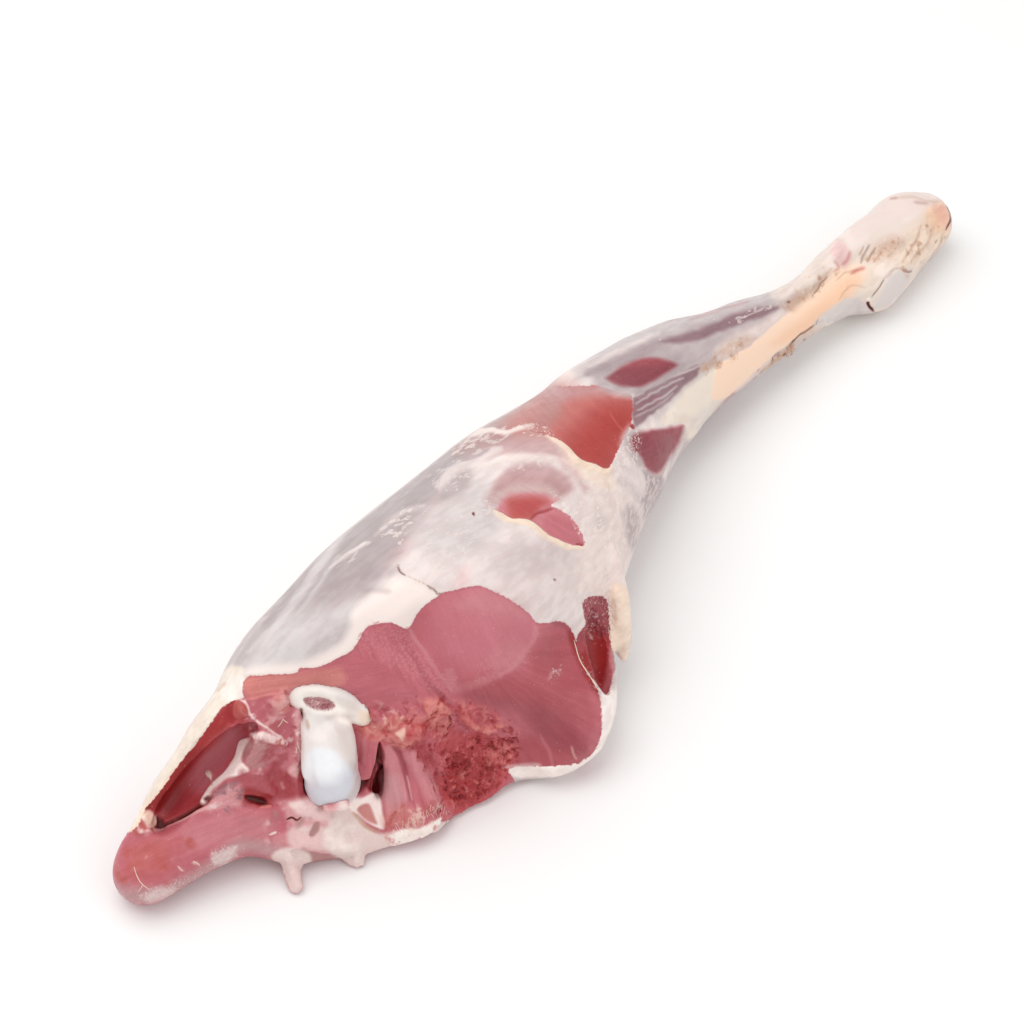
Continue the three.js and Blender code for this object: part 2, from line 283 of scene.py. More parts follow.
# Strands that bridge a hollow, straight from where they start to where they end.
BRIDGES = table("""
bundle_1 11 .45: 367,729 372,742 371,757 367,770 363,783 367,795
pit_top 10 .5: 232,790 246,788 260,788 276,793
pit_low 8 .5: 236,813 250,813 264,813 280,812
ball_side 7 .5: 290,764 295,777 296,790 294,802
""", Strand)

# Boxes of the photograph where thin skin hangs free and is spared the smoothing.
THIN = [(272, 848, 312, 905), (342, 850, 372, 878), (606, 590, 634, 664), (780, 340, 800, 358)]

# Boxes of the photograph with the finest detail, and the one that holds the joint and the tongue.
FINE = [(235, 690, 446, 868), (446, 700, 520, 815), (576, 592, 616, 700), (628, 362, 702, 430),
        (690, 300, 800, 375), (800, 185, 955, 325)]
JOINT = (90, 694, 404, 930)

# Torn and crumbled tissue: how rough it is and the size of its grains in millimetres, and what shows in its
# hollows and on its crests, the darker tissue there partly as painted shade and the paler partly as painted
# light.
CRUMBS = table("""
torn_wide .45 1.5 blood salmon: 380,740 400,700 440,695 470,700 510,722 520,750 490,812 440,825 425,790
  410,750
torn_deep .8 1.0 gore orange: 440,764 456,746 482,738 514,736 518,756 502,774 488,796 462,806 444,790
warm .6 2.2 torn orange: 360,724 400,708 440,697 500,718 504,732 470,734 420,744 380,744
mid .5 3.0 lean_dark tissue: 246,700 285,690 300,710 300,790 270,792 240,780 250,745
under_ball .6 4.0 mauve_deep fat: 272,806 345,800 352,845 300,856 268,845
froth .35 1.0 plum film: 206,800 222,786 243,784 246,800 236,812 216,814
corner .5 1.8 rose fat: 136,818 148,808 160,820 152,832 138,834
lace .5 1.4 wine film: 580,598 611,596 614,626 604,640 580,640
foot .3 1.6 rose cream: 385,815 400,805 430,800 445,815 425,836 390,842
bed_top .5 2.5 blood rose: 222,706 238,698 246,712 240,728 214,730
fat_lace .35 1.5 rose fat: 234,697 246,698 262,718 290,736 290,750 268,746 250,738 246,716
neck_side .35 1.4 lean_dark fat: 292,706 303,706 304,764 296,768 292,740
ligament .4 1.6 rose lip: 352,704 390,706 396,726 380,736 354,732
tongue_end .3 3.5 rose lean_light: 112,878 124,848 152,832 196,836 180,876 150,896 116,896
""")

# Dried tissue, the same way.
CRUSTS = table("""
hock_brown .2 1.0 brown hock: 864,262 872,246 888,238 902,240 896,254 878,260
hock_back .25 1.8 brown lip: 902,264 912,230 930,222 946,232 938,250 922,264 905,276
heel .25 1.4 brown hock: 778,308 798,288 828,268 836,276 812,298 788,314
shin_fringe .3 1.2 umber lip: 752,376 775,354 797,339 822,318 830,322 800,346 790,356 764,376
shank_brown .2 1.6 brown membrane: 700,372 706,358 740,336 758,334 746,350 714,372
""")

# Flakes of film and frosty speckles: their tissue, how thickly they lie, and a soft edge in pixels.
FLAKES = table("""
frost_left lean_pale .5 26: 352,650 366,624 408,626 430,655 450,690 420,690 385,665
seam_1 lean_pale .42 8: 404,630 412,628 440,660 462,680 452,698 436,680
lobe_seam lean_pale .4 16: 480,655 520,645 540,660 505,680 470,690
white_trace film .38 6: 545,680 552,668 566,666 560,678
edge_trace film .3 6: 573,640 584,655 604,695 596,700 578,664
under_tongue film .45 14: 140,890 200,870 240,846 240,862 190,892 145,905
wisps film .36 9: 326,572 344,556 372,538 388,520 424,503 430,514 404,530 374,548 348,566
bubbles film_white .45 10: 388,520 404,508 414,524 404,546 390,540
torn_film film .38 10: 428,482 450,458 480,436 505,428 508,438 486,452 474,476 450,498
torn_line film_white .44 4: 452,452 470,436 500,426 534,422 536,429 504,434 478,442 458,458
cloud film .34 24: 420,540 450,500 490,490 500,520 470,560 440,575
knee film_white .36 18: 575,500 590,480 625,480 635,540 600,590 590,550
arc film .36 14: 480,480 510,456 560,458 590,476 588,500 560,470 500,476
window_edge film_white .4 8: 546,486 562,494 580,512 592,545 580,540 562,510
seam_web film_white .45 8: 612,470 622,448 634,428 642,440 640,470 660,480 640,510 620,500
knee_left film_white .45 10: 520,430 545,424 556,436 540,442
shank_fleck film .36 4: 728,322 745,311 768,304 772,310 750,320 734,326
tissue fat .12 16: 285,800 340,798 400,830 380,860 290,856
strip fat .25 16: 120,845 180,748 230,680 246,690 190,745 135,830
tongue_froth film .5 6: 210,850 236,844 234,858 224,866 212,864
knee_web film .45 10: 624,470 650,478 664,490 650,530 636,560 622,520
pocket_lace film_white .3 8: 580,598 610,596 613,618 600,632 582,630
""")

# Where the surface is smooth and shows no streaks.
SMOOTH = table("""
shin: 700,420 672,405 690,385 718,364 783,315 816,289 830,272 848,260 868,266 868,287 824,321 795,340
  750,390 720,415
hock_end: 872,308 880,290 900,268 915,266 905,288 890,304
hock: 845,240 880,200 910,190 930,205 900,240 880,245 862,262
knee_left: 465,452 500,408 545,378 570,384 570,410 556,436 520,442
border: 243,676 262,667 318,657 338,646 352,612 385,588 400,580 445,592 417,616 407,632 367,632 337,662
  261,680
""")

# How the fibres run: each bundle's fibres spread from a spot of the photograph, across and down, and then
# how clearly they show.
FIBRES = table("""
upper_band -260 780 .35: 240,676 330,664 400,640 440,690 400,715 300,700 244,700
frosted 238 381 .5: 352,648 367,625 408,628 452,690 430,700 390,672
great_lobe 300 300 .12: 408,628 440,592 480,584 530,612 536,640 512,670 452,691
right_lobe 462 646 .32: 452,691 512,670 536,640 535,620 566,622 604,700 602,740 575,768 505,770 500,724
  470,705
torn 500 560 .35: 440,700 500,722 516,760 482,815 440,825 425,760
bundles 375 600 .38: 355,728 425,728 445,800 440,830 383,840 380,800 355,780
tongue -700 1240 .28: 105,890 135,832 215,806 290,812 285,850 205,880 150,908
tissue 0 0 .05: 280,800 345,796 384,785 388,832 440,820 380,870 300,910 270,850
bed -150 1200 .3: 140,815 222,704 247,712 250,745 205,800 156,830
window_1 200 300 .22: 480,480 560,478 600,560 520,530
window_2 250 60 .18: 500,380 640,380 640,480 500,440
window_3 100 620 .25: 595,345 690,345 690,396 595,396
window_4 200 700 .4: 620,420 695,415 665,485 625,470
""")

# Loose threads and shreds of sinew and fat that lie on the finished meat, and beads of it whose pale colour
# stands for small glints of light on the wet surface, as painted highlights.
# pale beads where glints of light show on the hock and the shank, as painted highlights
# pale beads where small glints of light show on the wet fascia, as painted highlights
THREADS = table("""
tongue_sinew .4 .7: 134,867 137,876 142,884 150,890
tongue_sinew_end .3 .7: 143,884 141,888 138,892
tongue_shred_1 .45 .6: 193,861 197,863 200,866
tongue_shred_2 .35 .6: 178,866 181,870 183,871
tongue_shred_4 .6 .5: 269,835 273,833 276,832
pocket_line .6 .4: 574,640 579,658 585,669 593,681 598,690
sinew_shred 1.2 .7: 207,771 210,775 211,780
joint_shred_1 .45 .6: 297,741 299,748 302,755
joint_shred_2 .4 .6: 296,747 297,753
bead_1 1.5 .5: 396,537 398,537
bead_2 1.2 .5: 402,540 404,540
bead_6 1.0 .5: 424,512 426,512
hock_bead 1.1 .5: 866,299 868,301
plum_bead_1 .7 .5: 659,340 661,340
fork_left .5 .8: 283,719 281,723 278,727
fork_right .45 .8: 283,719 285,721 288,723
""", Strand)
BRISTLES = 54               # how many fine fibres of fat stand at the foot of the cut
BRISTLE_LINE = ((394, 836), (444, 812))


def foot_bristles():
    """Fine fibres of fat along the foot of the cut, which lean up into the torn muscle."""
    chance = np.random.default_rng(5)
    start, end = np.array(BRISTLE_LINE, float)
    for share in chance.random(BRISTLES):
        root = start + share * (end - start) + chance.normal(0, 4, 2)
        lean = np.array((chance.normal(-1, 2), -chance.uniform(2, 9)))
        bend = root + lean / 2 + chance.normal(0, 0.8, 2)
        yield Strand([root, bend, root + lean], 0.2, 0.6)


# The bone's neck, where it fills out towards the meat.
BONE_BULGES = table("""
neck_right 10 .5: 338,716 344,730 347,744 347,760 345,780
neck_root 8 .4: 330,708 345,712 358,718 370,722
neck_left 8 .4: 306,716 308,735 310,755 314,780
neck_middle 20 .3: 322,726 325,745 328,764 330,790
neck_low_left 7 .4: 308,738 307,752 307,766 309,782
neck_low_right 7 .4: 350,736 351,750 352,766 352,780
""", Strand)

# Where the fascia thins out over bare muscle with no edge: how softly in pixels.
FADES = table("""
window_2_left 40: 470,380 540,372 548,386 544,410 534,430 514,452 470,450
window_1_top 8: 484,500 498,484 522,476 554,478 568,492 556,500 545,493 520,492 504,498 494,510 480,508
""")

# Windows whose whole edge is soft: how far in from the edge the muscle fades, in pixels.
SOFT_WINDOWS = {"window_3": 6, "window_4": 6}

# The fascia, fat and dried skin, from the first layer to the last. Here and in the other tables of marks:
# tissue, strength, softness, lift, and a stroke's half width.
# painted light: the lower edge of the fat rim, painted brighter against the shade it turns into
# painted shade in the hock's crack, and a painted highlight on its lip
# painted shade: the band along the upper edge is toned darker where the overhead light falls strongly
# painted shade: the grey film over the rump, toned darker where the light falls strongly on it
COVER_MARKS = table("""
upper_sheen dusk .95 24 0: 215,700 240,650 275,600 320,540 380,490 450,445 500,408 545,380 560,400 530,434
  470,460 440,500 400,550 372,592 340,608 300,620 262,645 238,690
lower_grey ash .95 18 0: 240,668 262,645 300,612 340,606 372,600 360,625 330,655 300,664 262,668
grey_cloud sheen .35 20 0: 305,640 320,625 345,620 340,645 315,655
long_streak pale_grey .8 7 .3 4: 350,520 337,545 322,565 305,590 288,614 268,636 250,654
long_streak_2 ash .8 5 .2 2: 340,556 326,576 310,600 292,622 276,642
edge_shadow slate .5 6 -.2 3: 318,556 300,580 283,602 266,624
border_fat film_white .95 12 .3: 243,674 262,667 290,665 318,657 338,646 350,628 352,612 368,598 385,588
  400,580 422,586 443,594 430,606 417,616 407,632 389,628 367,632 359,645 337,662 300,675 261,680
thigh_film film .9 26 0: 410,545 440,500 470,470 500,458 560,460 600,470 640,500 630,560 620,590 570,620
  535,618 500,592 445,592 420,575
knee_cream membrane .8 24 0: 585,480 612,474 640,500 630,560 625,595 590,600 575,560 590,520
dim_1 sheen .38 22 0: 490,570 510,545 545,540 575,550 560,566 525,575
dim_2 sheen .3 18 0: 455,545 470,520 492,515 500,530 475,550
dim_3 sheen .5 9 0 4: 618,480 628,487 638,500
dim_4 sheen .5 8 0 4: 620,512 628,530 630,545
dim_5 sheen .35 10 0 5: 597,505 600,530
mid_grey ash .6 24 0: 410,530 450,495 480,480 500,500 490,540 440,560
dusk_1 dusk .7 12 0: 436,492 450,478 468,470 470,486 452,500 440,502
bands_1 slate .35 6 0 3: 362,592 378,591 390,592
bands_3 slate .3 10 0 5: 365,577 385,573 398,572
crack umber .8 1.5 -.3 .8: 398,566 400,572 405,576
crack_faint brown .5 1.4 -.2 .5: 405,576 418,582 428,586
crack_end umber .75 1.5 -.3 .8: 427,586 434,590 438,594 444,594
wisp_1 film .9 2 .25 1.3: 330,571 345,558 358,550 370,543
wisp_2 film .45 4 .1 2: 340,561 352,553 366,545
wisp_3 film .6 5 .15 2: 376,536 390,522 405,513 425,506
mauve_left mauve_deep .9 26 0: 455,450 490,425 545,390 560,405 556,438 520,440 480,447
mauve_warm salmon .6 30 0: 505,428 530,396 566,382 580,410 556,438 524,438
mauve_under mauve .7 14 0: 470,458 490,444 530,438 560,447 580,464 560,462 520,455 490,458
lace_1 film_white .9 3 .4 2.5: 466,438 478,433 492,430 505,433 515,430 532,426
lace_2 film .8 5 .3 5: 440,490 450,475 465,466 480,458 500,449
lace_3 slate .6 3 -.2 2: 462,462 478,456 490,450
arc_white film_white .6 6 .2 3: 478,470 500,460 530,457 560,462 580,474
arc_mauve mauve .85 10 0: 500,478 510,469 525,464 548,467 566,476 574,490 560,494 548,485 520,482 503,488
  492,492
arc_right mauve .5 8 0 4: 560,462 578,478 586,492
window_1_lip lip .95 3 .5 3.2: 494,512 505,519 516,522 530,525 543,535 556,543 568,547 582,549
window_2_lip lip .95 3 .5 3.5: 546,437 558,442 568,451 576,461 590,467 602,472 611,469
lip_spread lip .6 14 0: 560,450 580,462 610,470 612,490 590,484 572,470
pink_trace tissue .45 12 0: 454,588 458,574 466,566 470,576 464,588
knee_dusk_1 slate .75 6 -.1: 642,470 654,474 664,480 656,502 646,520 640,500 646,488
knee_dusk_2 slate .6 8 -.1: 626,505 636,512 638,540 632,556 626,530
speck_1 pit .8 1.2 -.1 1.6: 473,515 473.5,515.5
speck_2 umber .7 1.2 -.1 1.3: 553,580 553.5,580.5
knee_seam film .8 6 .2 2: 634,392 634,410 630,430 620,447 612,466
seam_web film .7 5 .2: 630,425 640,432 640,450 636,470 618,480 612,470 625,445
seam_spot blood .9 2 -.3 2.2: 631,426 632,428
# the shank
shank_sheen sheen .7 14 0: 575,372 620,345 690,318 780,292 785,300 720,345 670,400 640,425 632,392 600,384
shank_top ash .8 6 .1 4: 590,360 640,338 690,322 740,305 790,292
shank_pink mauve .6 3 0 1.5: 688,321 720,311 748,303
shank_band slate .8 6 -.1: 585,372 612,360 640,346 662,339 676,340 650,354 615,368 590,378
shank_line film .7 4 .2 2: 590,368 615,354 640,342 660,334
silver sheen .9 8 0: 648,352 680,342 706,341 716,350 712,362 690,367 682,360 668,354
plum_muscle plum .92 6 -.2: 662,342 690,333 720,321 745,311 776,307 772,313 745,323 715,334 690,343
plum_streak_1 film_white .6 1.8 .2 .7: 738,320 750,315 765,308
shank_pale membrane .85 10 0: 715,350 735,334 770,318 800,298 790,312 748,346 722,362
brown_1 brown .45 10 -.1: 716,354 728,343 742,338 756,338 744,347 728,357
brown_2 brown .6 7 -.1: 698,369 706,363 716,360 714,369 704,372
stripe_base plum .9 4 -.2: 633,398 650,387 672,376 696,366 698,374 684,386 670,400 654,412 634,427
stripe_deep wine .25 5 0: 634,402 652,394 660,400 634,420
stripe_light_1 film .7 3 .25 1.4: 633,397 650,388 670,378 698,367
stripe_light_2 pale_grey .65 3 .25 1.1: 635,404 652,394 668,385 682,379
stripe_light_3 pale_grey .65 3 .25 1.1: 636,411 650,404 664,396 676,387
stripe_light_4 sheen .7 3 .25 1.2: 634,418 648,411 660,404 672,394
shin_cream cream .95 8 .1: 660,424 672,405 690,385 708,372 722,362 735,372 720,400 700,432 686,440 684,424
shin_side pale_grey .45 8 0: 690,420 708,404 722,398 712,415 700,432
shin peach .98 3 .25: 718,366 746,348 783,317 816,291 830,276 842,270 848,282 840,304 824,319 795,338
  762,364 735,390 712,400 712,385
shin_end peach .85 14 .1: 832,276 846,264 862,266 866,276 852,292 836,304
shin_deep peach_deep .8 14 0: 770,345 800,318 830,290 850,275 862,280 848,299 824,319 795,338
shin_back membrane .8 4 0 3: 735,392 762,368 790,348
shin_edge umber .8 1.6 -.2 .9: 820,320 806,330 795,338 790,345 791,353
scrap brown .85 4 0: 758,372 775,356 786,347 792,342 793,350 780,358 765,368
# the heel cord and the hock
heel_cord hock .9 6 .2: 770,296 790,280 805,268 825,254 834,250 830,264 812,280 795,292 780,300
heel_shadow brown .6 10 -.6: 782,306 798,293 815,283 826,273 831,271 822,285 806,301 792,312
heel_dark umber .5 1.8 -.4 .6: 812,296 819,287 827,277
heel_spot umber .6 2 -.1 1.2: 787,301 790,302
hock_crown membrane .85 8 0: 850,215 880,198 905,188 940,190 945,200 915,215 880,228 855,240
hock_warm lip .7 14 0: 905,232 925,215 945,215 948,235 932,258 905,272 892,262 903,245
hock_end peach_deep .8 14 .1: 926,210 940,203 949,212 948,228 936,234 926,222
hock_end_pink orange .28 10 0: 934,208 944,205 949,213 947,224 938,222
hock_ridge brown .4 4 -.15 .8: 892,200 912,198 930,202 942,201
hock_blush_1 mauve_deep .5 3 0 1.2: 891,200 897,199
hock_blush_2 mauve_deep .5 4 0 1.4: 914,203 927,204
hock_rim pit .8 1.4 -.2 .8: 946,206 949,213 949,220 945,229
hock_patch_1 brown .55 14 -.2: 866,260 876,246 890,238 902,241 895,254 880,260
hock_groove_1 umber .4 3 -.5 .9: 869,245 864,255 861,264
hock_groove_2 umber .35 2 -.5 .8: 875,248 870,256 867,263
hock_groove_3 brown .6 2.5 -.4 .9: 863,247 860,256
hock_groove_4 brown .7 2 -.3 1: 881,253 874,262
hock_fold_1 brown .5 4 -.4 1.5: 933,228 927,242 914,258
hock_fold_2 brown .45 3 -.3 1.2: 943,230 939,244 930,257
hock_fold_3 brown .5 3 -.3 1.3: 921,226 915,242 902,262
hock_fold_4 lip .7 4 .2 1.5: 928,226 921,242 908,260
hock_fold_5 lip .7 4 .2 1.5: 938,232 933,246 922,260
heel_line brown .35 2.5 -.3 .8: 838,300 845,291 855,286 865,288
heel_arc brown .45 2.5 -.2 .8: 836,282 845,274 858,271
blush_1 tissue .7 8 0: 832,250 838,242 850,252 846,268 836,264
blush_red rose .4 4 0 1: 834,262 838,268 834,272
blush_2 rose .5 5 0 1.2: 850,253 847,259 842,265
blush_4 ember .6 5 -.2 1.4: 852,274 858,271 864,269
hock_foot pale_grey .9 5 0: 812,326 828,308 848,298 866,303 872,311 840,320
hock_smooth pale_grey .75 4 .2: 874,308 880,292 888,278 900,270 912,268 905,285 890,302
hock_joint umber .6 1.8 -.4 .6: 884,280 878,288 871,297
hock_joint_top slate .5 3 -.2 .7: 884,279 893,270 900,268 905,271
hock_joint_end umber .5 1.6 -.3 .8: 901,270 907,272 911,270
hock_body lip .35 16 0: 870,262 892,252 905,262 895,268 880,276 868,290 860,282
hock_crack pit .95 1.4 -.8 1.2: 868,302 869,306 873,310
hock_glint fat 1 1.6 .3 1.8: 867,299 868,301
# the strip of fat, the rims and the loose skin
fat_strip cream .95 6 0: 100,850 118,820 140,790 170,745 210,690 228,668 243,668 246,680 240,702 225,708
  196,746 181,763 147,809 134,832
strip_edge peach .6 4 0 2.5: 134,832 147,808 165,786 181,762
strip_corner fat .7 8 0: 222,694 232,676 246,680 240,700 228,702
strip_olive brown .4 4 0 2: 218,692 226,684
lobe_rim fat .95 5 0: 601,690 618,698 622,750 600,780 560,776 505,776 509,766 573,763 591,753 600,730
lobe_rim_light fat .9 5 0 5: 609,735 603,750 592,759 578,765 550,770 520,771
flap lip .8 5 0: 610,590 620,585 634,600 636,662 620,668 612,655 609,632
pocket_line film .8 2.2 .4 1.2: 573,634 576,645 579,658 585,669 593,681 599,692
window_1_glow mauve_deep .5 12 0: 484,502 496,484 522,477 554,481 566,492 558,503 540,498 515,496 500,506
window_3_glow slate .5 12 0: 594,384 604,366 640,350 676,354 686,366 660,388 630,396 606,392
window_4_glow slate .6 10 0: 624,440 634,430 646,436 644,466 632,462
""", Mark)
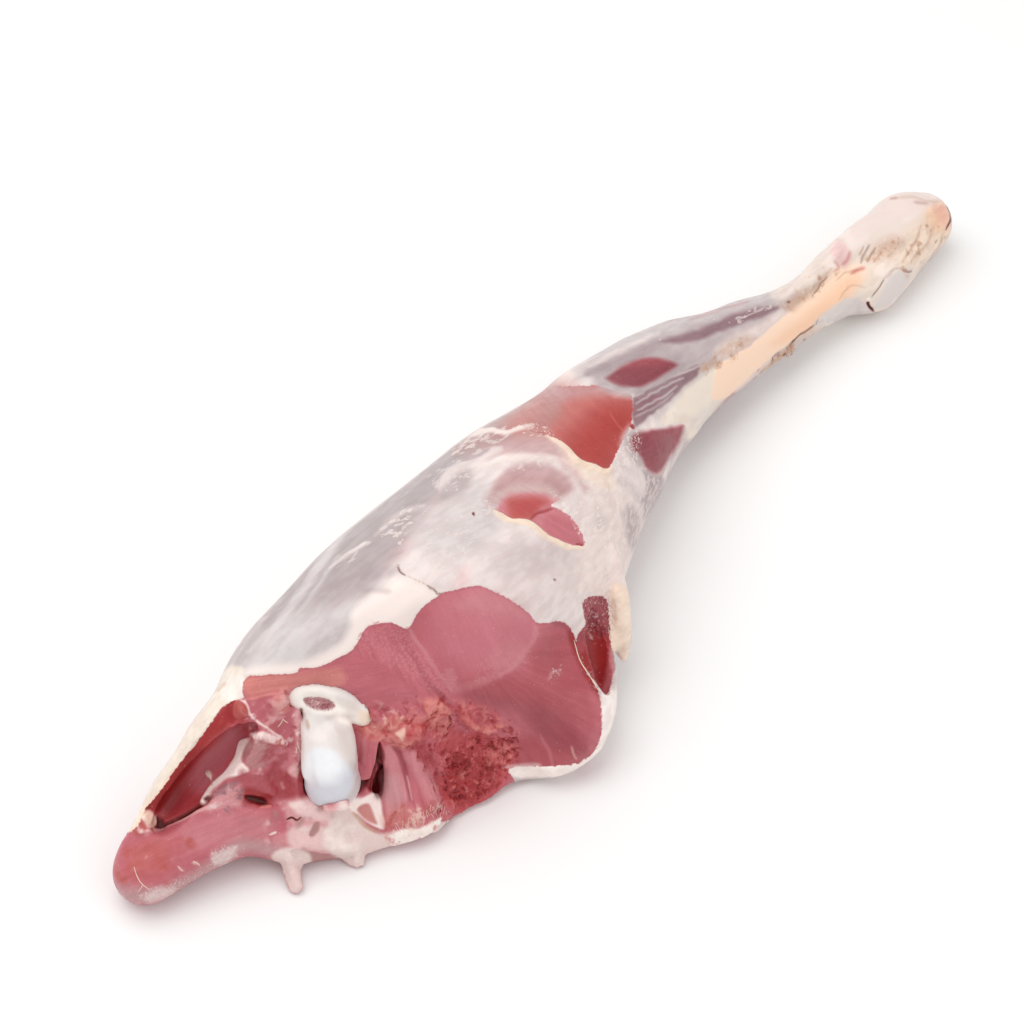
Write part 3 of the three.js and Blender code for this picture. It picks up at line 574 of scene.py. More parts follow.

# The bare muscle and what lies on it, from the first layer to the last.
# painted highlight: a pale strip down the first bundle
# painted shade in the crease at the foot of the bed
# painted shade in the crevice beside the fat triangle
# painted shade in the gap beside the knob
# painted shade in the slit
# painted shade: the crevices beside the bundles, painted near black on top of their dent
# painted shade: the pit and the red-brown shading round it, on top of their dent
# painted shade: the torn holes are dented and painted dark inside
# painted shadow: the dark gap left of the ball
# partly painted highlight: the soft lighter band along the window's upper edge, on muscle under thin fascia
# the bed is painted in lighter reds than its own, as painted light against the deep hollow's shade
FLESH_MARKS = table("""
# the windows in the fascia
window_1_base lean_pale .8 8 0: 484,500 509,482 560,490 590,548 548,542 500,520
window_1_core rose .95 12 0: 508,500 518,497 536,497 548,501 540,508 530,519 514,520 508,512
window_1_heart torn .5 10 0: 516,504 530,500 540,504 528,514 516,514
window_1_top mauve .6 7 0: 490,498 509,486 532,484 552,489 545,492 515,492
window_1_low lean .6 6 0: 548,514 570,520 582,545 565,543 545,530
window_1_fold blood .6 2.5 -.3 1.5: 531,518 540,512 552,509
window_1_end blood .6 2 -.2 1.6: 576,546 583,545
window_2_base rose .9 10 0: 515,405 546,384 636,386 636,430 606,474 520,434
window_2_warm salmon .5 26 0: 545,388 600,386 625,396 590,408 565,430 548,436
window_2_left mauve_deep .95 26 0: 505,420 530,385 560,384 560,410 545,430 520,440
window_2_top mauve .75 12 0: 545,384 600,384 636,390 630,396 590,396 550,402
window_2_core ember .95 34 0: 572,446 590,420 612,408 634,414 620,445 606,470 586,464
window_2_seam orange .3 2 .1 1: 610,412 616,423 622,430
window_3_base wine .95 8 0: 598,380 622,356 650,350 686,364 650,394 615,392
window_3_top lean_dark .55 10 0: 612,368 640,355 668,356 676,362 640,366
window_4_base lean_deep .95 6 0: 624,442 640,424 690,420 660,480 636,466
window_4_dark wine .5 10 0: 645,445 672,438 666,462 654,470 644,462
window_4_left wine .5 8 0: 626,440 640,430 648,440 642,460 630,452
window_4_top lean .7 5 .1 3: 640,428 665,426 686,424
# the great lobe and the upper band
lobe_light lean_light .6 24 0: 430,640 440,600 480,585 530,612 536,640 510,668 460,665
lobe_top lean_pale .7 16 0: 455,606 480,590 510,600 532,618 500,616 470,612
lobe_veil lean_pale .5 14 0: 490,655 510,640 530,650 515,668 495,672
lobe_right lean_dark .8 22 0: 540,640 560,622 578,650 595,690 560,690 530,665
lobe_shade lean_deep .8 30 0: 470,690 520,690 560,705 590,745 575,762 545,745 520,712 480,706
lobe_mid lean_dark .6 22 0: 455,690 500,672 560,684 590,700 595,730 560,712 500,700
lobe_rim_red lean .6 8 0 5: 590,685 598,705 598,730 590,750
lobe_bottom lean_dark .75 16 0: 520,735 545,742 575,760 560,768 510,768
lobe_top_dark lean_deep .6 6 -.2 3: 552,622 563,624 570,634 574,645
upper_band_left salmon .85 10 0: 243,680 262,674 300,672 340,668 340,688 290,690 262,695 248,697
upper_band_warm orange .35 12 0: 243,680 258,676 268,686 250,697
ridge_left orange .6 2 .3 1.4: 248,700 265,696 280,693 288,688
band_under lean_dark .35 8 0: 250,704 280,696 290,715 280,735 262,720
seam_1 lean_pale .7 3 .35 2: 408,628 420,646 435,668 450,690
seam_1_dark lean_deep .45 5 -.4 2.5: 404,640 418,664 434,688 448,704
seam_1_specks lean_pale .6 5 .2: 446,672 452,668 456,680 452,690 447,683
seam_2 lean_pale .7 4 .2 2.5: 534,622 534,639 526,650 516,665 500,674
seam_2_low lean_pale .45 7 .1 4: 500,674 476,684 451,692
white_trace_1 film .35 3 .1 1: 548,679 552,673 562,670
crease lip .5 2.4 .1 1: 571,746 573,753 577,760
crease_2 lean_light .6 3 .1 1.6: 540,735 548,750 552,765
# the pocket behind the lobe
pocket_base blood .95 8 0: 570,640 585,620 620,620 622,690 600,700
pocket_bright ember .5 10 0: 590,645 600,636 606,645 600,668 592,660
pocket_wall lean_pale .7 7 0: 612,640 625,650 615,700 600,700 606,675
pocket_lace lean_deep .9 9 0: 580,596 612,592 614,624 584,626
pocket_left lean_dark .7 5 0: 577,636 588,625 590,640 580,655
# the bed of the pelvis
bed torn .95 10 0: 236,698 222,710 205,730 180,762 158,790 143,812 152,828 166,830 188,818 208,806 216,790
  232,766 247,745 250,728
bed_dark gore .5 16 0: 160,806 172,782 190,758 200,748 206,752 190,776 180,800 168,812
bed_side gore .9 8 0: 143,812 160,785 185,752 196,746 184,772 163,806
bed_wall lean_light .8 16 0: 200,762 222,730 242,730 246,740 228,764 206,792 192,786
bed_rim blood .75 7 0: 150,806 178,762 206,726 228,702 242,700 247,712 232,722 214,738 192,764 166,808
bed_glow ember .4 10 0: 200,740 215,724 228,720 222,740 208,752
bed_crease pit .95 3 -1 1.8: 155,827 168,823 182,816 196,808 208,802
small_lobe rose .8 3 .4: 235,702 243,704 248,712 245,719 238,720 233,714
corner_cream lip .8 4 .3: 140,813 150,811 158,822 152,829 144,824
corner_red rose .8 4 .2: 133,826 138,816 145,822 146,832 136,836
corner_dark pit .85 4 -.6: 157,815 163,820 165,828 158,829
# the tissue between the bed and the ball
cream_line fat .8 2.5 .25 1.2: 237,699 246,704 250,714 258,722 266,728 276,734 286,742
white_band fat .8 4 .25: 251,733 262,732 275,735 285,743 278,745 262,741 254,739
mid_pink lean_pale .5 8 0: 258,745 285,745 300,755 298,770 275,765
mauve_patch mauve_deep .7 8 0: 247,742 262,739 271,748 268,765 255,771 245,764 242,752
mid_red blood .45 5 -.2: 272,762 279,762 282,772 275,772
under_mid lean_dark .7 10 0: 232,780 250,773 290,775 300,796 280,800 245,792
sinew fat 1 3 .6: 240,741 250,739 243,754 243,762 249,770 240,776 228,779 221,784 213,791 205,803 201,802
  208,789 218,778 228,768 236,755
sinew_knot fat 1 2 .7 2.6: 208,772 210,776
sinew_tail lean_pale .8 2 .3 1.2: 211,778 214,786
pit_rim blood .75 8 -.8: 236,792 250,788 272,797 270,806 250,806 238,802
pit pit 1 4 -1.2: 246,799 256,799 267,802 266,805 256,804 248,802
pit_lip orange .9 2 .4 1.6: 261,807 271,806
small_pit pit .9 2 -.6 2: 206,800 210,797
froth tissue .5 8 .2: 205,806 222,790 240,786 244,800 235,812 215,816
froth_brown plum .5 4 0 3: 212,796 224,788 238,783
warm_under_pit rose .45 8 0: 246,808 265,808 275,815 262,822 250,818
knob_gap blood .85 3 -.6 1.6: 285,690 288,700 290,709
knob_side salmon .7 5 .4: 272,698 283,693 290,702 286,713 275,711
bone_side tissue .6 5 .2 3: 296,712 298,735 300,760
bone_side_3 tissue .7 4 .3: 288,768 298,762 303,770 300,778 290,775
ball_gap_left blood .8 4 -.5 2: 301,772 301,784 303,797
red_by_ball blood .35 10 0: 268,770 290,775 298,796 280,798 268,785
# the tongue
tongue lean .8 8 0: 108,880 118,852 150,832 210,810 262,808 290,822 285,850 240,850 205,878 150,905 112,900
tongue_red rose .5 20 0: 125,870 135,845 160,834 180,850 166,872 140,882
tongue_end mauve .5 12 0: 110,880 130,882 150,888 160,898 120,904 108,894
tongue_light lean_pale .7 16 0: 185,826 240,812 275,822 262,842 215,846 190,850
tongue_top tissue .75 3 .2 1.6: 140,832 158,829 180,820 198,812 215,806
tongue_under mauve .85 14 0 7: 115,896 150,897 182,884 210,868 240,846 268,850 290,856
tongue_film_1 film .6 6 .2: 211,853 222,851 237,845 233,856 226,864 214,864
tongue_film_2 film .6 8 .1: 146,893 160,886 176,890 155,903 145,900
fleck_1 tissue .8 1.6 .1 1.3: 193,862 199,864
fleck_2 tissue .8 1.6 .1 1.1: 178,867 183,871
fleck_3 tissue .8 1.4 .1 1: 145,856 146,858
fleck_4 fat .8 1.6 .1 1.3: 270,834 276,832
# the tissue under the ball
pink_tissue tissue .6 8 .3: 284,806 296,798 310,800 326,806 345,800 345,815 330,828 305,830 290,824
pale_tissue fat .55 8 0: 292,806 306,802 330,810 350,806 344,818 310,820
low_tissue membrane .8 8 0: 290,828 320,826 345,835 360,852 320,852 292,848
low_pink tissue .35 6 0: 272,838 295,832 330,842 320,850 285,852
squiggle pit .95 1.4 -.5 .9: 287,819 292,817 297,820 301,817
brown_pit mauve_deep .95 3 -.4: 309,834 314,824 319,822 319,830 313,837
crescent mauve_deep .95 3 -.4: 290,853 300,850 320,854 345,854 361,851 350,858 325,863 306,861
tissue_red_1 rose .4 3 0 1.8: 325,803 332,806
tissue_red_2 rose .4 3 0 1.3: 325,836 329,834
membrane membrane .95 7 .2: 334,812 345,802 358,816 374,832 395,832 416,828 412,842 392,850 380,862 358,870
  330,852 322,838
tips membrane .9 5 0: 272,856 292,848 312,858 306,892 292,905 282,895
triangle fat .95 3.5 .4: 347,807 357,800 367,795 375,792 381,799 382,812 384,829 370,824 354,812
crevice_mid gore .95 4 -.4: 366,786 374,772 382,762 385,772 382,790 374,793
triangle_core rose .7 4 -.3: 357,809 368,803 373,812 377,824 365,819
triangle_edge brown .6 3 0 2: 353,813 364,825 378,833
# the bundles beside the ball
bundle_1 lean .7 5 .7: 357,731 368,728 379,740 380,757 375,769 367,780 358,778 356,760 352,745
bundle_1_light lean_pale .6 4 .2 2: 363,736 366,750 364,764
bundle_1_dark blood .6 4 -.4 2: 357,758 359,772
crevice pit 1 2.5 -2: 379,742 383,751 384,758 380,766 374,773 370,778 375,765 377,753
crevice_low pit .9 3 -1.6: 355,778 361,782 370,779 367,786 361,794 355,792
bundle_2 lean_pale .9 6 .7: 384,747 391,744 397,755 402,770 408,790 405,808 390,818 383,808 381,790 378,775
  384,762
bundle_2_mauve mauve .4 10 0: 383,775 396,775 402,795 392,805 384,798
bundle_dark lean_deep .7 5 -.5 1.6: 391,746 399,752 404,766 408,784 411,800
bundle_3 lean_pale .9 10 .7 8: 408,750 417,764 428,784 436,802
bundle_3_edge tissue .6 1.6 .2 1: 407,776 410,788 412,800
valley_1 blood .55 9 -.8: 413,742 426,745 440,765 430,768 418,755
valley_2 blood .6 9 -.8: 434,774 446,778 454,796 446,800 438,788
foot_warm salmon .6 9 0: 383,815 400,806 425,812 420,824 395,828 383,826
foot_fat fat 1 3 .3: 386,840 400,830 418,828 432,822 443,817 440,828 428,838 412,842 398,846
# warm tissue over the bundles
warm_lobe salmon .85 7 .4: 362,729 380,722 400,716 420,724 424,735 412,745 400,749 385,742 370,741
warm_red torn .65 12 0: 396,726 414,718 446,722 440,736 414,740 398,738
warm_band salmon .5 10 .2: 380,722 420,714 450,718 445,732 420,730 390,732
warm_clump orange .85 5 .5: 424,703 431,697 441,702 453,711 441,718 428,717
warm_bit_1 lip .8 4 .3: 396,733 402,729 406,731 403,740 399,737
warm_bit_2 lip .6 3 .2 1.5: 398,719 404,716
slit pit .7 2.4 -.6 1.1: 449,715 450,722 448,729
warm_ridge orange .85 5 .8 3.5: 463,708 466,717 475,726 488,729 501,724
ridge_glow torn .5 10 0: 455,705 480,704 500,716 490,726 468,722
# the torn foot
torn_base torn .85 14 0: 436,742 470,732 510,742 516,760 498,790 482,812 455,815 440,790 446,765
torn_bright orange .4 7 .5: 484,752 496,742 510,752 504,764 490,762
torn_hole_1 gore .7 4 -.6 2: 502,745 508,742 514,743
torn_shade blood .5 14 -.4: 446,766 470,752 498,766 490,788 462,806 448,794
torn_hole_2 gore .6 4 -.5 2: 485,771 491,767 496,771
torn_hole_3 gore .5 5 -.5 2: 453,768 459,761 466,764
torn_hole_4 gore .45 4 -.4 2: 442,755 446,749
torn_hole_5 gore .5 5 -.5 2: 455,799 462,796 468,799
torn_edge membrane .6 4 0 2: 503,768 520,765 540,766
""", Mark)

# The bone and its cartilage, from the first layer to the last.
# painted shade: the ligament's slit and the gaps by the neck, where the bone meets the meat
# painted shade: the lower right of the ball, where the shade falls on it
BONE_MARKS = table("""
ball cartilage .9 8 0: 300,762 310,748 321,745 334,750 344,758 357,772 360,790 345,803 310,808 298,785
ball_cool cartilage_cool .95 18 0: 300,790 318,785 338,782 348,762 362,775 356,800 320,812 302,806
ball_side bone_shade .6 7 0 4: 350,762 357,774 356,788 348,800
ball_edge ivory .6 8 0 2: 303,760 310,748 321,744 334,749 346,758
neck_shade bone_shade .55 22 0: 336,728 350,722 358,740 358,766 346,760 338,744
neck_left bone_shade .5 4 -.2 2: 302,712 304,722 308,730
knob knob .95 6 0: 284,700 290,684 322,686 348,702 382,716 382,728 350,726 330,716 302,712
knob_under bone_shade .45 6 0 2.5: 326,718 340,716 356,716
knob_side bone_shade .35 6 0: 336,696 352,702 364,712 350,712 340,706
ligament lip .8 5 0: 358,712 370,712 382,720 380,728 362,724
ligament_slit umber .8 1.8 -.4 .9: 366,706 370,709 374,710
gap umber .7 2.4 -.4 1.6: 301,709 300,714 300,720
gap_2 brown .6 2.4 -.3 1.5: 306,720 309,728
marrow marrow .98 1.6 -.8: 304,699 310,698 320,698 330,701 335,705 333,709 324,710 314,709 307,705
marrow_dark wine .7 2.5 -.4 1.8: 322,707 330,706
marrow_light tissue .5 2 .2 1.4: 312,702 320,704
""", Mark)


# ------------------------------------------------------------------ measuring marks
CURVE_STEPS = 4
CRUMB_SEED, CRUST_SEED = 20, 150
GRAINS = ((0.5, 1.6), (0.3, 0.8), (0.2, 0.45))      # the shares of a crumb's grains and their sizes
WET_GLOW = 0.03             # what the wet surface mirrors of a white room, which the tones already hold


def smooth_curve(spots, closed):
    """A curve through given spots, with CURVE_STEPS points from one to the next."""
    given = np.array(spots, float)
    if closed:
        before, start, after, beyond = (np.roll(given, shift, 0) for shift in (1, 0, -1, -2))
    else:
        longer = np.vstack([2 * given[0] - given[1], given, 2 * given[-1] - given[-2]])
        before, start, after, beyond = longer[:-3], longer[1:-2], longer[2:-1], longer[3:]
    t = (np.arange(CURVE_STEPS) / CURVE_STEPS)[None, :, None]
    before, start, after, beyond = (p[:, None] for p in (before, start, after, beyond))
    curve = 0.5 * (2 * start + (after - before) * t + (2 * before - 5 * start + 4 * after - beyond) * t ** 2
                   + (3 * start - before - 3 * after + beyond) * t ** 3)
    curve = curve.reshape(-1, 2)
    return curve if closed else np.vstack([curve, given[-1]])


def depth_inside(places, curve):
    """How deep each place is inside a closed curve; less than nothing outside it."""
    nearest = np.full(len(places), np.inf)
    inside = np.zeros(len(places), bool)
    x, y = places.T
    for (ax, ay), (bx, by) in zip(curve, np.roll(curve, -1, 0)):
        dx, dy = bx - ax, by - ay
        t = np.clip(((x - ax) * dx + (y - ay) * dy) / max(dx * dx + dy * dy, 1e-9), 0, 1)
        nearest = np.minimum(nearest, (x - ax - t * dx) ** 2 + (y - ay - t * dy) ** 2)
        if ay != by:
            inside ^= ((ay > y) != (by > y)) & (x < ax + (y - ay) * dx / dy)
    return np.where(inside, 1, -1) * np.sqrt(nearest)


def depth_in_stroke(places, curve, half):
    """How deep each place is inside a stroke that narrows at its ends."""
    depth = np.full(len(places), -np.inf)
    x, y = places.T
    pieces = len(curve) - 1
    for i, ((ax, ay), (bx, by)) in enumerate(zip(curve[:-1], curve[1:])):
        dx, dy = bx - ax, by - ay
        t = np.clip(((x - ax) * dx + (y - ay) * dy) / max(dx * dx + dy * dy, 1e-9), 0, 1)
        share = (i + t) / pieces
        width = half * np.sqrt(np.clip(5 * np.minimum(share, 1 - share) + 0.25, 0, 1))
        depth = np.maximum(depth, width - np.hypot(x - ax - t * dx, y - ay - t * dy))
    return depth


def ease(low, high, value):
    t = np.clip((value - low) / (high - low), 0, 1)
    return t * t * (3 - 2 * t)


def lattice_noise(places, size, seed):
    """Smooth noise from 0 to 1 whose lumps are about size wide."""
    at = places / size
    corner = np.floor(at).astype(np.int64)
    share = at - corner
    share = share * share * (3 - 2 * share)
    total = np.zeros(len(places))
    for step in np.ndindex(2, 2, 2):
        i, j, k = (corner + step).T
        mix = (i * 73856093) ^ (j * 19349663) ^ (k * 83492791) ^ (seed * 2654435761)
        mix = (mix ^ (mix >> 13)) * 1274126177 & 0xFFFFFFFF
        value = ((mix ^ (mix >> 16)) & 0xFFFF) / 0xFFFF
        weight = np.prod(np.where(np.array(step) == 1, share, 1 - share), axis=1)
        total += weight * value
    return total


def to_display(colour):
    curved = 1.055 * np.maximum(colour, 1e-6) ** (1 / 2.4) - 0.055
    return np.where(colour <= 0.0031308, colour * 12.92, curved)


def to_linear(colour):
    return np.where(colour <= 0.04045, colour / 12.92, ((colour + 0.055) / 1.055) ** 2.4)


def to_photo(places):
    """Where the photograph shows places of the frame, in its pixels."""
    offset = places - CAMERA_PLACE
    depth = offset @ VIEW_AHEAD
    across = PHOTO_SIDE / 2 + FOCAL * (offset @ VIEW_RIGHT) / depth
    down = PHOTO_SIDE / 2 - FOCAL * (offset @ VIEW_UP) / depth
    return np.stack([across, down], 1)


def rays_to(spots):
    """The ways in which the camera looks at spots of the photograph."""
    side = (np.asarray(spots, float) - PHOTO_SIDE / 2) / FOCAL
    rays = VIEW_AHEAD + side[:, :1] * VIEW_RIGHT - side[:, 1:] * VIEW_UP
    return rays / np.linalg.norm(rays, axis=1)[:, None]


def read(collection, name, width, kind=np.float64):
    values = np.empty(len(collection) * width, kind)
    collection.foreach_get(name, values)
    return values.reshape(-1, width) if width > 1 else values


class Surface:
    """A mesh's points, with what a brush needs to know about each and what it leaves there."""

    def __init__(self, piece, palette, wander=1.0):
        self.mesh = piece.data
        self.palette = palette
        self.place = read(self.mesh.vertices, "co", 3)
        self.normal = read(self.mesh.vertices, "normal", 3)
        self.edges = read(self.mesh.edges, "vertices", 2, np.int32)
        self.photo = to_photo(self.place)
        self.seen = self.spread(self.look(), 3)
        drift = [lattice_noise(self.place, 3.5 * MM, seed) - 0.5 for seed in (3, 4)]
        self.drawn = self.photo + 2 * wander * np.stack(drift, 1)
        self.lift = np.zeros(len(self.place))
        self.colour = {}
        self.opacity = {}

    def look(self):
        """1 for each point that the camera sees and 0 for one that is hidden."""
        tree = BVHTree.FromPolygons(self.place.tolist(), [p.vertices[:] for p in self.mesh.polygons])
        towards = CAMERA_PLACE - self.place
        towards /= np.linalg.norm(towards, axis=1)[:, None]
        facing = (self.normal * towards).sum(1)
        seen = np.zeros(len(self.place))
        for i in np.flatnonzero(facing > GRAZING[0]):
            start = self.place[i] + self.normal[i] * 0.4 * MM + towards[i] * 0.4 * MM
            hit = tree.ray_cast(Vector(start), Vector(towards[i]), 0.3)
            seen[i] = hit[0] is None
        return seen * ease(*GRAZING, facing)

    def spread(self, values, times):
        """Values eased out over their neighbours."""
        a, b = self.edges.T
        count = np.bincount(a, minlength=len(values)) + np.bincount(b, minlength=len(values)) + 1
        for _ in range(times):
            total = values + np.bincount(a, values[b], len(values)) + np.bincount(b, values[a], len(values))
            values = total / count
        return values

    def fill(self, channel, name):
        self.colour[channel] = np.tile(self.shade(name), (len(self.place), 1))

    def shade(self, name):
        return to_display(np.array(getattr(self.palette, name)))

    def tone(self, channel, name, share):
        """Mixes a colour in all over, by a share for each point."""
        layer = self.colour[channel]
        layer += (self.shade(name) - layer) * share[:, None]

    def lay(self, channel, mark):
        """Lays one mark down where the photograph shows it."""
        curve = smooth_curve(mark.spots, mark.half == 0)
        margin = mark.half + mark.soft + 1
        low, high = curve.min(0) - margin, curve.max(0) + margin
        near = np.flatnonzero(((self.drawn > low) & (self.drawn < high)).all(1) & (self.seen > 0.01))
        if len(near) == 0:
            return
        places = self.drawn[near]
        depth = depth_in_stroke(places, curve, mark.half) if mark.half else depth_inside(places, curve)
        share = ease(-mark.soft / 2, mark.soft / 2, depth) * self.seen[near]
        layer = self.colour[channel]
        layer[near] += (self.shade(mark.tint) - layer[near]) * (share * mark.strength)[:, None]
        self.lift[near] += mark.lift * share

    def share_of(self, outline, soft):
        """How far each point lies in an outline of the photograph, from 0 to 1."""
        curve = smooth_curve(outline, True)
        low, high = curve.min(0) - soft, curve.max(0) + soft
        near = np.flatnonzero(((self.drawn > low) & (self.drawn < high)).all(1) & (self.seen > 0.01))
        share = np.zeros(len(self.place))
        share[near] = ease(-soft / 2, soft / 2, depth_inside(self.drawn[near], curve)) * self.seen[near]
        return share

    def crumble(self, channel, seed, outline, rough, grain, hollow, crest):
        """Breaks a patch up into grains, darker in between and lighter on top: the hollows' colour is partly
        painted shade and the crests' partly painted light.
        """
        share = self.share_of(outline, 10)
        near = np.flatnonzero(share)
        at = self.place[near]
        at = at + 0.4 * grain * MM * (lattice_noise(at, 2 * grain * MM, seed)[:, None] - 0.5)
        level = np.full(len(share), 0.5)
        level[near] = sum(part * lattice_noise(at, size * grain * MM, seed + number)
                          for number, (part, size) in enumerate(GRAINS, 1))
        self.lift += rough * 3 * (level - 0.5) * share
        self.tone(channel, hollow, 0.8 * share * ease(0.45, 0.25, level))
        self.tone(channel, crest, 0.6 * share * ease(0.58, 0.78, level))

    def keep_colours(self):
        for channel, shades in self.colour.items():
            layer = self.mesh.color_attributes.new(name=channel, type="FLOAT_COLOR", domain="POINT")
            albedo = to_linear(np.clip(shades, 0, 1))
            albedo = np.maximum(albedo - WET_GLOW, 0.35 * albedo)
            opacity = self.opacity.get(channel, np.ones(len(shades)))
            rgba = np.concatenate([albedo, opacity[:, None]], 1)
            layer.data.foreach_set("color", rgba.astype(np.float32).ravel())

    def keep_fibres(self):
        """Keeps how far each point is across and along its fibres, and how clearly they show."""
        along, sideways, up = self.place.T
        fibres = np.stack([sideways + up, along, 0 * along], 1) / MM
        strength = np.full(len(self.place), 0.25)
        for number, (outline, source_x, source_y, shown) in enumerate(FIBRES.values(), 1):
            source = np.array((source_x, source_y))
            inside = self.share_of(outline, 0.01) > 0
            strength[inside] = shown
            offset = self.drawn[inside] - source
            reach = np.hypot(*offset.T)
            spot = np.mean(outline, axis=0) - source
            across = np.arctan2(offset[:, 1], offset[:, 0]) * np.hypot(*spot)
            fibres[inside] = np.stack([across * PIXEL_MM, reach * PIXEL_MM, 0 * reach + 7 * number], 1)
        self.keep_vector("fibres", fibres * MM)
        self.opacity["flesh"] = self.spread(strength, 4)

    def keep_vector(self, name, values):
        layer = self.mesh.attributes.new(name=name, type="FLOAT_VECTOR", domain="POINT")
        layer.data.foreach_set("vector", values.astype(np.float32).ravel())

    def keep_value(self, name, values):
        layer = self.mesh.attributes.new(name=name, type="FLOAT", domain="POINT")
        layer.data.foreach_set("value", values.astype(np.float32))

    def raise_points(self, heights, pull=0):
        """Moves the points along their normals, by heights in metres, and by a pull of their own."""
        moved = self.place + self.normal * heights[:, None] + pull
        self.mesh.vertices.foreach_set("co", moved.ravel())
        self.mesh.update()


def bare_depth(surface):
    """How deep each point is inside bare muscle, in millimetres; less than nothing under fascia."""
    depth = np.full(len(surface.place), -float(BARE_REACH))
    for outline in BARE.values():
        curve = smooth_curve(outline, True)
        low, high = curve.min(0) - BARE_REACH, curve.max(0) + BARE_REACH
        near = np.flatnonzero(((surface.photo > low) & (surface.photo < high)).all(1))
        depth[near] = np.maximum(depth[near], depth_inside(surface.photo[near], curve))
    depth = np.clip(depth, -BARE_REACH, BARE_REACH) * PIXEL_MM
    raised = (surface.place - CUT_BASE) @ CUT_OUT / MM
    looks_out = surface.normal @ CUT_OUT
    in_hollow = (raised > -HOLLOW_DEPTH) & (surface.normal @ VIEW_AHEAD < 0.5) & (depth > 0.6)
    hidden = np.minimum(raised + 20 * ease(0.1, 0.5, looks_out), 8) - 2
    along, _, height = surface.place.T / MM
    tongue = np.minimum(ease(*TONGUE_ALONG, along), ease(*TONGUE_TOP, height))
    hidden = np.maximum(hidden, 16 * tongue - 8)
    return np.where((surface.seen > 0.3) | in_hollow, depth, np.clip(hidden, -8, 8))


# ------------------------------------------------------------------ working with objects
def deselect():
    if bpy.context.object and bpy.context.object.mode != "OBJECT":
        bpy.ops.object.mode_set(mode="OBJECT")
    bpy.ops.object.select_all(action="DESELECT")


def pick(piece):
    deselect()
    piece.select_set(True)
    bpy.context.view_layer.objects.active = piece


def copy_of(node, name):
    """A loose copy of a solid of the frame, with its shared points merged."""
    piece = frame["nodes"][node].copy()
    piece.data = piece.data.copy()
    bpy.context.scene.collection.objects.link(piece)
    piece.parent = None
    piece.name = piece.data.name = name
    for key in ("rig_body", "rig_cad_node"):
        del piece[key]
    piece.data.materials.clear()
    pick(piece)
    bpy.ops.object.mode_set(mode="EDIT")
    bpy.ops.mesh.select_all(action="SELECT")
    bpy.ops.mesh.remove_doubles(threshold=0.01 * MM)
    bpy.ops.object.mode_set(mode="OBJECT")
    return piece


def apply_modifier(piece, kind, **settings):
    pick(piece)
    modifier = piece.modifiers.new(kind.title(), kind)
    for name, value in settings.items():
        setattr(modifier, name, value)
    bpy.ops.object.modifier_apply(modifier=modifier.name)


def join(piece, *others):
    pick(piece)
    for other in others:
        other.select_set(True)
    bpy.ops.object.join()
    return piece


def settle(piece):
    """Puts a piece's place into its mesh."""
    pick(piece)
    bpy.ops.object.transform_apply(location=True, rotation=True, scale=True)


def shaft_filling():
    """A rod and a ball that fill the thigh bone's bed deep in the meat, where nothing shows."""
    length = SHAFT_END - SHAFT_START
    bpy.ops.mesh.primitive_cylinder_add(
        vertices=24, radius=SHAFT_RADIUS, depth=length.length, location=(SHAFT_START + SHAFT_END) / 2,
        rotation=length.to_track_quat("Z", "Y").to_euler())
    rod = bpy.context.object
    settle(rod)
    bpy.ops.mesh.primitive_uv_sphere_add(segments=24, ring_count=16, radius=KNEE_RADIUS, location=SHAFT_END)
    ball = bpy.context.object
    settle(ball)
    return rod, ball


def ground_of(*pieces):
    """The faces of some pieces, to lay strands on."""
    points, faces = [], []
    for piece in pieces:
        start = len(points)
        points += [v.co[:] for v in piece.data.vertices]
        faces += [[start + i for i in p.vertices] for p in piece.data.polygons]
    return BVHTree.FromPolygons(points, faces)


def lay_strands(name, strands, ground, profile=1, bridging=False):
    """Makes rounded strands that taper at their ends, and lie on the ground or bridge its hollows
    where the photograph shows them."""
    deselect()
    bpy.ops.curve.primitive_bezier_curve_add(location=(0, 0, 0))
    piece = bpy.context.object
    piece.name = piece.data.name = name
    piece.data.splines.clear()
    piece.data.dimensions = "3D"
    piece.data.bevel_depth = 1
    piece.data.bevel_resolution = profile
    piece.data.use_fill_caps = True
    for item in strands:
        curve = smooth_curve(item.spots, False)
        rays = rays_to(curve)
        hits = [ground.ray_cast(Vector(CAMERA_PLACE), Vector(ray)) for ray in rays]
        landed = [i for i, hit in enumerate(hits) if hit[0] is not None]
        if len(landed) < 2:
            continue
        reach = np.array([hits[i][3] for i in landed])
        if bridging:
            reach = np.linspace(reach[0], reach[-1], len(reach))
        spline = piece.data.splines.new("POLY")
        spline.points.add(len(landed) - 1)
        for point, i, away in zip(spline.points, landed, reach):
            share = i / (len(curve) - 1)
            radius = item.half * PIXEL_MM * MM * min(1, 0.35 + 4 * min(share, 1 - share)) ** 0.5
            point.co = (*(CAMERA_PLACE + rays[i] * (away - radius * (2 * item.rise - 1))), 1)
            point.radius = radius
    pick(piece)
    bpy.ops.object.convert(target="MESH")
    return bpy.context.object


def spare_thin_skin(piece):
    """Groups the points to be smoothed, with little weight on thin skin that hangs free."""
    thin = in_boxes(to_photo(read(piece.data.vertices, "co", 3)), THIN)
    group = piece.vertex_groups.new(name="smoothed")
    group.add(np.flatnonzero(~thin).tolist(), 1.0, "REPLACE")
    group.add(np.flatnonzero(thin).tolist(), 0.25, "REPLACE")
    return group.name


